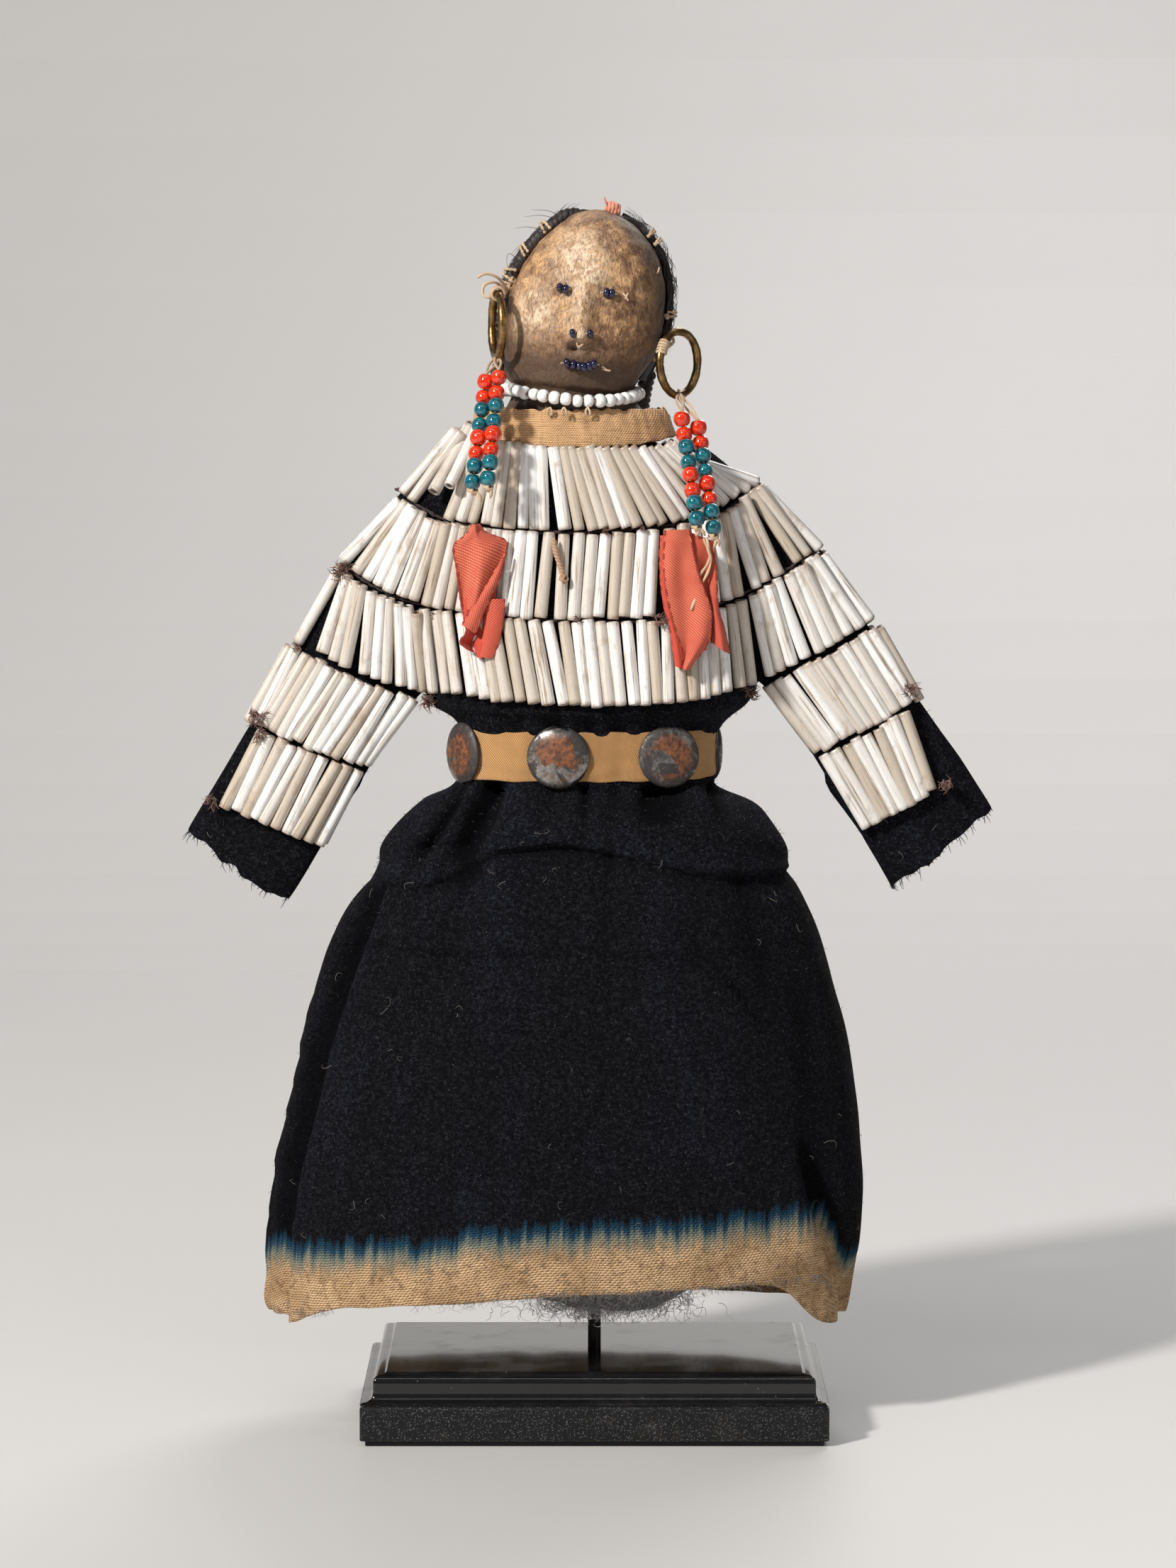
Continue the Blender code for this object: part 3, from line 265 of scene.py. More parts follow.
def finer(node):
    """A copy of a solid's mesh with its seams joined and its triangles paired, subdivided three times."""
    bm = bmesh.new()
    bm.from_mesh(NODES[node].data)
    bmesh.ops.remove_doubles(bm, verts=bm.verts, dist=2e-6)
    bmesh.ops.join_triangles(bm, faces=bm.faces, angle_face_threshold=0.9, angle_shape_threshold=1.3)
    mesh = bpy.data.meshes.new(node + "_fine")
    bm.to_mesh(mesh)
    bm.free()
    obj = placed("blank", mesh)
    mod = obj.modifiers.new("smooth", "SUBSURF")
    mod.levels = mod.render_levels = 3
    mesh = settle(obj).data
    bpy.data.objects.remove(obj)
    return mesh


def faces_out(mesh):
    """Turns every face of a closed mesh outwards."""
    bm = bmesh.new()
    bm.from_mesh(mesh)
    bmesh.ops.recalc_face_normals(bm, faces=bm.faces)
    bm.to_mesh(mesh)
    bm.free()
    return mesh


def turned(profile, steps):
    """A profile of (radius, height) turned about Z, as rings for Mould.rings."""
    return [[Vector((r * cos(a), r * sin(a), h)) for r, h in profile] for a in full_turn(steps)]


# Geometry trees


class Tree:
    """A node tree with short ways to add a node, and short names for the ones used most."""

    def __init__(self, tree):
        self.tree = tree

    def node(self, kind, sockets=None, **settings):
        made = self.tree.nodes.new(kind)
        for key, value in settings.items():
            setattr(made, key, value)
        for key, value in (sockets or {}).items():
            self.plug(made.inputs[key], value)
        return made

    def plug(self, socket, value):
        if isinstance(value, bpy.types.Node):
            value = value.outputs[0]
        if isinstance(value, bpy.types.NodeSocket):
            self.tree.links.new(value, socket)
        elif value is not None:
            socket.default_value = value

    def coords(self):
        return self.node("ShaderNodeTexCoord").outputs["Object"]

    def uv(self):
        return self.node("ShaderNodeUVMap", uv_map="UVMap").outputs[0]

    def attribute(self, name):
        return self.node("ShaderNodeAttribute", attribute_name=name).outputs["Fac"]

    def scaled(self, vector, scale, rotation=(0, 0, 0)):
        return self.node("ShaderNodeMapping", {"Vector": vector, "Scale": scale, "Rotation": rotation}).outputs[0]

    def noise(self, vector, scale, detail=4.0, roughness=0.55, distortion=0.0):
        return self.node("ShaderNodeTexNoise", {"Vector": vector, "Scale": scale, "Detail": detail,
                                                "Roughness": roughness, "Distortion": distortion}).outputs["Fac"]

    def cells(self, vector, scale):
        return self.node("ShaderNodeTexVoronoi", {"Vector": vector, "Scale": scale}).outputs["Distance"]

    def math(self, operation, a, b=None, c=None, clamp=False):
        node = self.node("ShaderNodeMath", {0: a}, operation=operation, use_clamp=clamp)
        for place, value in ((1, b), (2, c)):
            self.plug(node.inputs[place], value)
        return node.outputs[0]

    def times(self, a, b, clamp=False):
        return self.math("MULTIPLY", a, b, clamp=clamp)

    def plus(self, a, b, clamp=False):
        return self.math("ADD", a, b, clamp=clamp)

    def minus(self, a, b, clamp=False):
        return self.math("SUBTRACT", a, b, clamp=clamp)

    def most(self, a, b):
        return self.math("MAXIMUM", a, b)

    def from_middle(self, share):
        """How far a share is from a half: 0 there, 1 at either end."""
        return self.math("ABSOLUTE", self.math("MULTIPLY_ADD", share, 2.0, -1.0))

    def span(self, value, low, high, out_low=0.0, out_high=1.0):
        return self.node("ShaderNodeMapRange", {0: value, 1: low, 2: high, 3: out_low, 4: out_high},
                         interpolation_type="SMOOTHSTEP").outputs[0]

    def mix(self, share, a, b):
        node = self.node("ShaderNodeMix", data_type="RGBA")
        for socket, value in ((node.inputs[0], share), (node.inputs[6], a), (node.inputs[7], b)):
            self.plug(socket, (*value, 1.0) if isinstance(value, tuple) and len(value) == 3 else value)
        return node.outputs[2]

    def stain(self, base, mask, amount, colour):
        """A colour laid over the base by a mask, as strongly as the amount."""
        return self.mix(self.times(mask, amount), base, colour)

    def parts(self, vector):
        return self.node("ShaderNodeSeparateXYZ", {0: vector}).outputs

    def group(self, tree, sockets):
        made = self.node("ShaderNodeGroup", node_tree=tree)
        for key, value in sockets.items():
            self.plug(made.inputs[key], value)
        return made.outputs


def new_group(kind, name, takes, gives):
    """A new group of nodes with these sockets: the tree, what comes in and what goes out."""
    group = bpy.data.node_groups.new(name, kind)
    for way, sockets in (("INPUT", takes), ("OUTPUT", gives)):
        for label, sort, *value in sockets:
            socket = group.interface.new_socket(name=label, in_out=way, socket_type="NodeSocket" + sort)
            if value:
                socket.default_value = value[0]
    tree = Tree(group)
    return tree, tree.node("NodeGroupInput").outputs, tree.node("NodeGroupOutput").inputs


def geometry_group(name, sizes):
    """A group that takes geometry and the named sizes, and puts geometry out."""
    shape = ("Geometry", "Geometry")
    return new_group("GeometryNodeTree", name, (shape, *sizes), (shape,))


def set_out_tree():
    """Sets a copy of one bead on every point, turned and sized as the point says."""
    tree, given, out = geometry_group("set_out_beads", (
        ("Bead", "Object"), ("Width", "Float", 0.001), ("Length", "Float", 0.001),
        ("Unevenness", "Float", 0.0), ("Seed", "Int", 1), ("Finish", "Material")))
    bead = tree.node("GeometryNodeObjectInfo", {"Object": given["Bead"]})
    turn, size = (tree.node("GeometryNodeInputNamedAttribute", {"Name": name}, data_type="FLOAT_VECTOR")
                  for name in ("turn", "size"))
    low, high = tree.minus(1.0, given["Unevenness"]), tree.plus(1.0, given["Unevenness"])
    vary = tree.node("FunctionNodeRandomValue", {2: low, 3: high, "Seed": given["Seed"]}, data_type="FLOAT")
    whole = tree.node("ShaderNodeCombineXYZ", {0: given["Width"], 1: given["Width"], 2: given["Length"]})
    own = tree.node("ShaderNodeVectorMath", {0: whole, 1: size}, operation="MULTIPLY")
    uneven = tree.node("ShaderNodeVectorMath", {0: own, "Scale": vary.outputs[1]}, operation="SCALE")
    set_on = tree.node("GeometryNodeInstanceOnPoints", {
        "Points": given["Geometry"], "Instance": bead.outputs["Geometry"], "Rotation": turn, "Scale": uneven})
    real = tree.node("GeometryNodeRealizeInstances", {0: set_on})
    finish = tree.node("GeometryNodeSetMaterial", {0: real, "Material": given["Finish"]})
    tree.plug(out[0], finish)
    return tree.tree


def fibre_tree():
    """Turns every line of edges into a round fibre, thinner where its taper says so."""
    tree, given, out = geometry_group("spin_fibres", (
        ("Thickness", "Float", 0.0002), ("Sides", "Int", 4), ("Finish", "Material")))
    taper = tree.node("GeometryNodeInputNamedAttribute", {"Name": "taper"}, data_type="FLOAT")
    line = tree.node("GeometryNodeMeshToCurve", {"Mesh": given["Geometry"]})
    radius = tree.times(tree.times(given["Thickness"], 0.5), taper)
    sized = tree.node("GeometryNodeSetCurveRadius", {"Curve": line, "Radius": radius})
    ring = tree.node("GeometryNodeCurvePrimitiveCircle", {"Resolution": given["Sides"], "Radius": 1.0})
    skin = tree.node("GeometryNodeCurveToMesh", {"Curve": sized, "Profile Curve": ring, "Fill Caps": True})
    if "Scale" in skin.inputs:
        tree.plug(skin.inputs["Scale"], radius)
    real = tree.node("GeometryNodeRealizeInstances", {0: skin})
    finish = tree.node("GeometryNodeSetMaterial", {0: real, "Material": given["Finish"]})
    tree.plug(out[0], finish)
    return tree.tree


def grown(name, mesh, group, values, mat, replaced=()):
    """Runs a geometry tree on a mesh and keeps the result as a plain piece."""
    obj = placed(own_name(name), mesh)
    mod = obj.modifiers.new("grow", "NODES")
    mod.node_group = group
    values = {**values, "Finish": mat}
    for item in group.interface.items_tree:
        if item.item_type == "SOCKET" and item.in_out == "INPUT" and item.name in values:
            mod[item.identifier] = values[item.name]
    settle(obj)
    return finished(obj, mat, replaced)


def fibres(name, lines, mat, thickness, sides=3, taper=True):
    """One piece of many round fibres, spun along lines of points."""
    return grown(name, lines_mesh(name, lines, taper), FIBRE_TREE, {"Thickness": thickness, "Sides": sides}, mat)


def beads(name, spots, pattern, width, length, unevenness, seed, mat, replaced=None):
    """One piece of many beads: a copy of the pattern on every spot."""
    values = {"Bead": pattern, "Width": width, "Length": length, "Unevenness": unevenness, "Seed": seed}
    return grown(name, points_mesh(name, spots), BEAD_TREE, values, mat, (replaced or name,))


def pattern_of(mould, name):
    """A shape to set out by its points. It has no tone of its own, so each copy keeps its point's."""
    obj = placed(name, faces_out(mould.mesh(name)))
    obj.data.attributes.remove(obj.data.attributes["tone"])
    obj.data.shade_smooth()
    return obj


def points_mesh(name, spots):
    """Points with the turn, size and tone that the bead tree reads: a spot is (place, rotation, size, tone)."""
    mesh = bpy.data.meshes.new(name)
    mesh.from_pydata([tuple(s[0]) for s in spots], [], [])
    give(mesh, "turn", [c for s in spots for c in s[1].to_euler()], "FLOAT_VECTOR")
    give(mesh, "size", [c for s in spots for c in s[2]], "FLOAT_VECTOR")
    give(mesh, "tone", [s[3] for s in spots])
    return mesh


def lines_mesh(name, lines, taper=True):
    """Lines of edges, each thinning towards its end where taper is set."""
    points, edges, tapers, tones = [], [], [], []
    for line in lines:
        start, tone = len(points), DICE.random()
        points += [tuple(p) for p in line]
        edges += [(start + i, start + i + 1) for i in range(len(line) - 1)]
        tapers += [1.0 - 0.75 * (i / (len(line) - 1)) ** 2 if taper else 1.0 for i in range(len(line))]
        tones += [tone] * len(line)
    mesh = bpy.data.meshes.new(name)
    mesh.from_pydata(points, edges, [])
    give(mesh, "taper", tapers)
    give(mesh, "tone", tones)
    return mesh


# Materials


def shader_group(name, masks, **sizes):
    """A group that takes a vector and the named sizes, and puts masks out."""
    takes = [("Vector", "Vector")] + [(label, "Float", value) for label, value in sizes.items()]
    return new_group("ShaderNodeTree", name, takes, [(label, "Float") for label in masks])


def plain_weave_group():
    """Over-and-under weave: Vector is in metres on the cloth, Pitch is from thread to thread."""
    s, given, out = shader_group("plain_weave", ("Height", "Thread"), Pitch=0.0005, Slack=0.3)
    drift = s.node("ShaderNodeTexNoise", {"Vector": given["Vector"], "Scale": 260.0, "Detail": 2.0})
    shift = s.node("ShaderNodeVectorMath", {0: drift.outputs["Color"], 1: (0.5, 0.5, 0.5)}, operation="SUBTRACT")
    count = s.math("DIVIDE", 1.0, given["Pitch"])
    spread = s.node("ShaderNodeVectorMath", {0: given["Vector"], "Scale": count}, operation="SCALE").outputs[0]
    loose = s.node("ShaderNodeVectorMath", {0: shift.outputs[0], "Scale": given["Slack"]}, operation="SCALE").outputs[0]
    place = s.parts(s.node("ShaderNodeVectorMath", {0: spread, 1: loose}, operation="ADD").outputs[0])
    heights = []
    for own, other, phase, wave in ((place[0], place[1], 0.0, 0.34), (place[1], place[0], 1.0, 0.22)):
        body = s.math("ABSOLUTE", s.math("SINE", s.times(own, pi)))
        step = s.plus(s.math("FLOOR", own), phase)
        rise = s.math("SINE", s.times(s.plus(s.plus(other, 0.5), step), pi))
        over = s.math("MULTIPLY_ADD", rise, wave, 1.0 - 2.0 * wave if phase == 0.0 else 1.0 - wave)
        heights.append(s.times(s.math("POWER", body, 0.6), over))
    s.plug(out["Height"], s.most(*heights))
    s.plug(out["Thread"], s.math("GREATER_THAN", *heights))
    return s.tree


def twill_group():
    """Diagonal ribs of a twill ribbon, crossed by its fine threads."""
    s, given, out = shader_group("twill", ("Height",), Rib=0.0006, Lean=1.0)
    place = s.parts(given["Vector"])
    drift = s.times(s.noise(given["Vector"], 300.0, 2.0), 0.0006)
    diagonal = s.plus(s.math("MULTIPLY_ADD", place[0], given["Lean"], place[1]), drift)
    turns = s.times(s.math("DIVIDE", diagonal, given["Rib"]), pi)
    rib = s.math("ABSOLUTE", s.math("SINE", turns))
    fine = s.math("ABSOLUTE", s.math("SINE", s.times(place[0], pi / 0.00028)))
    s.plug(out["Height"], s.math("MULTIPLY_ADD", s.times(rib, fine), 0.45, s.times(rib, 0.55)))
    return s.tree


def fluff_group():
    """Short tangled fibres of felted wool, hide or fleece."""
    s, given, out = shader_group("fluff", ("Height", "Specks"), Scale=1500.0)
    coarse = s.noise(given["Vector"], given["Scale"], 6.0, 0.7, 1.2)
    ridge = s.minus(1.0, s.from_middle(coarse))
    s.plug(out["Height"], s.math("POWER", ridge, 2.0))
    far = s.cells(given["Vector"], 420.0)
    s.plug(out["Specks"], s.math("LESS_THAN", far, 0.09))
    return s.tree


def dust_group():
    """Where dust or dirt lies: in patches, and more on what faces up."""
    s, given, out = shader_group("dust", ("Mask",), Scale=80.0, Upward=0.5)
    patches = s.span(s.noise(given["Vector"], given["Scale"], 6.0, 0.65), 0.45, 0.75)
    normal = s.parts(s.node("ShaderNodeNewGeometry").outputs["Normal"])[2]
    facing = s.times(s.span(normal, 0.2, 1.0), given["Upward"])
    s.plug(out["Mask"], s.times(s.plus(patches, facing, clamp=True), patches, clamp=True))
    return s.tree


WEAVE, TWILL, FLUFF, DUST = plain_weave_group(), twill_group(), fluff_group(), dust_group()
BEAD_TREE, FIBRE_TREE = set_out_tree(), fibre_tree()


def material(name, roughness=0.5, metallic=0.0, **fixed):
    """A new material: its nodes, and its Principled shader with the fixed values set on its own sockets."""
    mat = bpy.data.materials.new(name)
    mat.use_nodes = True
    shade = Tree(mat.node_tree)
    shader = mat.node_tree.nodes["Principled BSDF"]
    shader.inputs["Roughness"].default_value = roughness
    shader.inputs["Metallic"].default_value = metallic
    for key, value in fixed.items():
        shader.inputs[key.replace("_", " ").title().replace("Ior", "IOR")].default_value = value
    return mat, shade, shader.inputs


def bumped(shade, sockets, height, distance, strength=1.0):
    """Joins a height to a material's normal."""
    node = shade.node("ShaderNodeBump", {"Height": height, "Distance": distance, "Strength": strength})
    shade.plug(sockets["Normal"], node.outputs[0])
    return node


HEM_TALL = 0.0312


def wool_material():
    """Felted indigo wool: worn, pitted and speckled, with painted sheen and wear on its fold ridges, painted shade in
    its fold grooves, and an undyed hem that its dye has bled into.
    """
    mat, s, into = material("felted_indigo_wool", 0.95)
    into["Specular IOR Level"].default_value = 0.08
    place = s.coords()
    cloth = s.uv()
    hem = s.parts(cloth)
    fluff = s.group(FLUFF, {"Vector": place, "Scale": 1300.0})
    weave = s.group(WEAVE, {"Vector": cloth, "Pitch": 0.00072, "Slack": 1.3})
    nap = s.group(WEAVE, {"Vector": cloth, "Pitch": 0.00060, "Slack": 1.6})
    big = s.noise(place, 26.0, 4.0)
    worn = s.times(s.span(s.noise(s.scaled(place, (1, 1, 0.35)), 60.0, 5.0), 0.45, 0.68), s.span(big, 0.40, 0.60))
    grains = s.span(s.noise(place, 820.0, 4.0, 0.85), 0.44, 0.66)
    pits = s.span(s.noise(s.scaled(place, (1, 1, 1.6)), 1150.0, 3.0, 0.8), 0.54, 0.40)
    dark = s.mix(grains, (0.0022, 0.0021, 0.0034), (0.028, 0.0275, 0.033))
    blue = s.mix(grains, (0.0050, 0.0060, 0.0135), (0.038, 0.043, 0.064))
    raised = s.attribute("wear")
    # Lighter blue in worn patches and on the fold ridges, where it is partly wear and partly a painted sheen.
    navy = s.mix(s.most(worn, s.times(s.span(raised, 0.55, 0.85), s.span(big, 0.3, 0.55))), dark, blue)
    navy = s.stain(navy, nap["Height"], 0.35, (0.0160, 0.0165, 0.0220))
    navy = s.stain(navy, pits, 0.85, (0.0012, 0.0012, 0.0020))
    speck = s.span(s.noise(place, 1700.0, 3.0, 0.8), 0.60, 0.72)
    navy = s.stain(navy, speck, 0.75, (0.095, 0.096, 0.110))
    navy = s.stain(navy, fluff["Specks"], 0.30, (0.20, 0.17, 0.14))
    # Painted shade: the fold grooves are darkened towards near-black.
    navy = s.mix(s.span(raised, 0.48, 0.10, 0.0, 0.75), navy, (0.0010, 0.0010, 0.0016))
    tan = s.mix(weave["Height"], (0.15, 0.090, 0.045), (0.80, 0.535, 0.305))
    tan = s.stain(tan, s.span(s.noise(place, 90.0, 5.0), 0.40, 0.66), 0.65, (0.30, 0.18, 0.09))
    tan = s.stain(tan, s.span(s.noise(s.scaled(cloth, (0.25, 1, 1)), 900.0, 3.0, 0.75), 0.54, 0.68), 0.5,
                  (0.22, 0.13, 0.065))
    tan = s.stain(tan, s.span(s.noise(place, 480.0, 4.0, 0.7), 0.50, 0.64), 0.55, (0.13, 0.075, 0.04))
    bled = s.span(s.noise(s.scaled(place, (1, 1, 0.6)), 70.0, 3.0), 0.60, 0.72)
    tan = s.mix(s.times(bled, s.span(hem[1], 0.0, 0.010, 0.5, 0.12)), tan, (0.10, 0.16, 0.15))
    teeth = s.noise(s.scaled(cloth, (1, 0.05, 1)), 330.0, 3.0, 0.7)
    slow = s.noise(s.scaled(cloth, (1, 0.02, 1)), 45.0, 2.0)
    edge = s.math("MULTIPLY_ADD", teeth, 0.016, s.math("MULTIPLY_ADD", slow, 0.005, hem[1]))
    above = s.minus(edge, HEM_TALL)
    navy_share = s.span(above, -0.0012, 0.0022)
    deep = s.mix(weave["Height"], (0.004, 0.016, 0.034), (0.016, 0.058, 0.095))
    green = s.mix(weave["Height"], (0.035, 0.070, 0.072), (0.14, 0.20, 0.175))
    blend = s.mix(s.span(above, -0.0100, -0.0030, 0.0, 0.85), tan, green)
    blend = s.mix(s.span(above, -0.0048, -0.0010), blend, deep)
    s.plug(into["Base Color"], s.mix(navy_share, blend, navy))
    felted = s.math("MULTIPLY_ADD", nap["Height"], 0.6, fluff["Height"])
    relief = s.node("ShaderNodeMix", {0: navy_share, 2: weave["Height"], 3: felted}, data_type="FLOAT").outputs[0]
    bumped(s, into, relief, 0.00050, 0.9)
    return mat


def weave_material(name, low, high, dirt, pitch, depth=0.00022, slack=0.6):
    """A woven cotton, darker between its threads and stained in patches."""
    mat, s, into = material(name, 0.9, sheen_weight=0.12)
    cloth, place = s.uv(), s.coords()
    weave = s.group(WEAVE, {"Vector": cloth, "Pitch": pitch, "Slack": slack})
    tone = s.mix(weave["Height"], low, high)
    for stretch in ((1.0, 0.06, 1.0), (0.06, 1.0, 1.0)):
        slub = s.noise(s.scaled(cloth, stretch), 1500.0, 3.0, 0.7)
        tone = s.stain(tone, s.span(slub, 0.52, 0.70), 0.55, low)
    dust = s.group(DUST, {"Vector": place, "Scale": 120.0, "Upward": 0.1})
    tone = s.stain(tone, dust["Mask"], 0.55, dirt)
    pits = s.math("LESS_THAN", s.cells(cloth, 260.0), 0.07)
    s.plug(into["Base Color"], s.mix(s.times(pits, 0.8), tone, (0.06, 0.035, 0.02)))
    bumped(s, into, weave["Height"], depth)
    return mat


def twill_material(name, low, high, worn, unfaded_and_shade_colour, rib, lean, depth=0.00015, sheen=0.1):
    """A twill: worn in patches, and of a second colour where the tone of the piece says so; on the silk this deeper red
    is partly unfaded silk and partly painted shade.
    """
    mat, s, into = material(name, 0.72, sheen_weight=sheen)
    cloth, place = s.uv(), s.coords()
    twill = s.group(TWILL, {"Vector": cloth, "Rib": rib, "Lean": lean})
    tone = s.mix(twill["Height"], low, high)
    patches = s.span(s.noise(place, 130.0, 5.0), 0.40, 0.75)
    tone = s.stain(tone, patches, 0.6, worn)
    # The tone mixes in the second colour: on the silk it is partly unfaded red and partly painted shade.
    s.plug(into["Base Color"], s.mix(s.attribute("tone"), tone, s.mix(twill["Height"], low, unfaded_and_shade_colour)))
    bumped(s, into, twill["Height"], depth)
    return mat


def tube_material():
    """Ivory-white tubes: each has a tone of its own, growth streaks, dirty ends, and painted shade inside the bore."""
    mat, s, into = material("stained_white_tubes", 0.32, coat_weight=0.25, coat_roughness=0.15)
    into["Subsurface Weight"].default_value = 0.08
    into["Subsurface Radius"].default_value = (0.003, 0.002, 0.0015)
    into["Subsurface Scale"].default_value = 0.5
    place, tone = s.coords(), s.attribute("tone")
    run = s.parts(s.uv())
    shifted = s.node("ShaderNodeCombineXYZ", {0: run[0], 1: run[1], 2: s.times(tone, 37.0)}).outputs[0]
    streaks = s.noise(s.scaled(shifted, (9.0, 0.7, 1.0)), 1.6, 4.0, 0.6)
    blotch = s.noise(s.scaled(place, (1, 1, 0.6)), 190.0, 5.0, 0.65)
    base = s.mix(s.span(tone, 0.05, 1.0), (0.88, 0.87, 0.85), (0.53, 0.46, 0.375))
    base = s.stain(base, s.span(streaks, 0.46, 0.66), 0.60, (0.46, 0.355, 0.245))
    base = s.stain(base, s.span(streaks, 0.60, 0.68), 0.65, (0.23, 0.145, 0.085))
    base = s.stain(base, s.span(blotch, 0.54, 0.72), 0.55, (0.36, 0.255, 0.165))
    near_end = s.from_middle(run[1])
    grime = s.times(s.span(near_end, 0.86, 1.0), s.span(s.noise(place, 500.0, 3.0), 0.25, 0.6))
    base = s.stain(base, grime, 0.75, (0.24, 0.15, 0.09))
    # Painted shade: the bore and the caps deep inside it are near-black.
    bore = s.span(near_end, 1.02, 1.08)
    s.plug(into["Base Color"], s.mix(bore, base, (0.035, 0.022, 0.015)))
    s.plug(into["Roughness"], s.span(blotch, 0.3, 0.8, 0.22, 0.55))
    bumped(s, into, s.math("MULTIPLY_ADD", streaks, 0.6, s.times(blotch, 0.4)), 0.00022, 0.6)
    return mat


def glass_material(name, deep, bright, pale, milky=0.4):
    """Glossy glass beads, streaked round the bore, with a chalky worn share."""
    mat, s, into = material(name, 0.12, coat_weight=0.9, coat_roughness=0.03)
    place, tone = s.coords(), s.attribute("tone")
    swirl = s.noise(place, 700.0, 4.0, 0.6, 1.0)
    base = s.mix(s.span(swirl, 0.35, 0.7), deep, bright)
    dust = s.group(DUST, {"Vector": place, "Scale": 420.0, "Upward": 0.0})
    chalk = s.times(dust["Mask"], s.span(tone, 0.2, 1.0, 0.05, milky))
    s.plug(into["Base Color"], s.mix(chalk, base, pale))
    s.plug(into["Roughness"], s.span(chalk, 0.0, 0.4, 0.10, 0.45))
    bumped(s, into, swirl, 0.00010, 0.35)
    return mat


def porcelain_material():
    """White beads, dirty round the bore."""
    mat, s, into = material("chalky_white_beads", 0.25, coat_weight=0.5, coat_roughness=0.12)
    place, run = s.coords(), s.parts(s.uv())
    grime = s.span(s.noise(place, 900.0, 4.0), 0.5, 0.68)
    inner = s.span(s.from_middle(run[0]), 0.72, 0.95)
    share = s.times(inner, s.math("MULTIPLY_ADD", grime, 0.6, 0.4))
    s.plug(into["Base Color"], s.mix(share, (0.86, 0.85, 0.83), (0.42, 0.24, 0.17)))
    bumped(s, into, grime, 0.00012, 0.4)
    return mat


def hide_material():
    """Smoked hide with short hair grain: a painted highlight on the forehead, nose and left cheek, and painted shade at
    the jaw, round the edges of the face and on the right cheek.
    """
    mat, s, into = material("smoked_hide", 0.58)
    into["Specular IOR Level"].default_value = 0.42
    place = s.coords()
    xyz = s.parts(place)

    def glow(x, z, wide, tall):
        dx = s.math("DIVIDE", s.minus(xyz[0], x / 1000), wide / 1000)
        dz = s.math("DIVIDE", s.minus(xyz[2], z / 1000), tall / 1000)
        far = s.math("SQRT", s.plus(s.times(dx, dx), s.times(dz, dz)))
        return s.span(far, 1.0, 0.0)

    grain = s.noise(s.scaled(place, (1, 1, 0.28), (0, 0.35, 0)), 1900.0, 5.0, 0.7, 0.6)
    mottle = s.noise(place, 150.0, 6.0, 0.62, 0.4)
    blotch = s.noise(place, 420.0, 5.0, 0.6, 0.8)
    flecks = s.noise(s.scaled(place, (1, 1, 0.45), (0, 0.5, 0)), 1000.0, 3.0, 0.7, 0.4)
    tan = s.mix(s.span(mottle, 0.38, 0.64), (0.21, 0.103, 0.047), (0.68, 0.395, 0.185))
    tan = s.stain(tan, s.span(blotch, 0.47, 0.66), 0.65, (0.17, 0.085, 0.042))
    tan = s.stain(tan, s.span(flecks, 0.50, 0.68), 0.45, (0.78, 0.54, 0.31))
    # Painted highlight: a paler hide laid where the light falls on the forehead, the nose ridge and the left cheek,
    # broken up by the mottle.
    pale = s.mix(s.span(blotch, 0.38, 0.62), (0.54, 0.35, 0.20), (0.94, 0.73, 0.52))
    light = s.most(glow(-4, 333, 12, 18), s.most(glow(-5, 317, 5, 14), glow(-17, 319, 10, 13)))
    light = s.times(light, s.span(mottle, 0.20, 0.54))
    skin = s.mix(light, tan, pale)
    # Painted shade: a near-black brown laid at the jaw, round the edges of the face, on the upper left forehead and on
    # the right cheek.
    dark = s.mix(s.span(mottle, 0.35, 0.7), (0.034, 0.020, 0.012), (0.105, 0.058, 0.033))
    jaw = s.times(s.span(s.minus(xyz[2], s.times(xyz[0], -0.12)), 0.316, 0.304),
                 s.span(mottle, 0.30, 0.60, 0.60, 1.0))
    rim = s.minus(1.0, s.most(glow(-4, 324, 25, 31), 0.0), clamp=True)
    shade = s.most(jaw, s.times(s.span(rim, 0.76, 1.0), 0.85))
    shade = s.most(shade, s.times(s.most(glow(-17, 343, 9, 8), glow(14, 321, 9, 13)), 0.30))
    skin = s.mix(shade, skin, dark)
    neck = s.span(xyz[2], 0.2985, 0.2945)
    skin = s.mix(neck, skin, s.mix(s.span(mottle, 0.35, 0.7), (0.035, 0.026, 0.020), (0.11, 0.075, 0.05)))
    warm = s.times(s.most(glow(9, 314, 12, 14), glow(-14, 312, 9, 8)), 0.45)
    skin = s.mix(warm, skin, s.mix(s.span(flecks, 0.4, 0.65), (0.11, 0.045, 0.018), (0.50, 0.25, 0.11)))
    skin = s.stain(skin, s.span(grain, 0.46, 0.62), 0.62, (0.070, 0.037, 0.020))
    s.plug(into["Base Color"], skin)
    s.plug(into["Roughness"], s.span(mottle, 0.3, 0.7, 0.42, 0.68))
    creases = s.from_middle(s.noise(place, 330.0, 5.0, 0.6, 0.9))
    height = s.plus(s.times(grain, 0.30), s.plus(s.times(creases, 0.55), mottle))
    bumped(s, into, height, 0.00075, 0.9)
    return mat


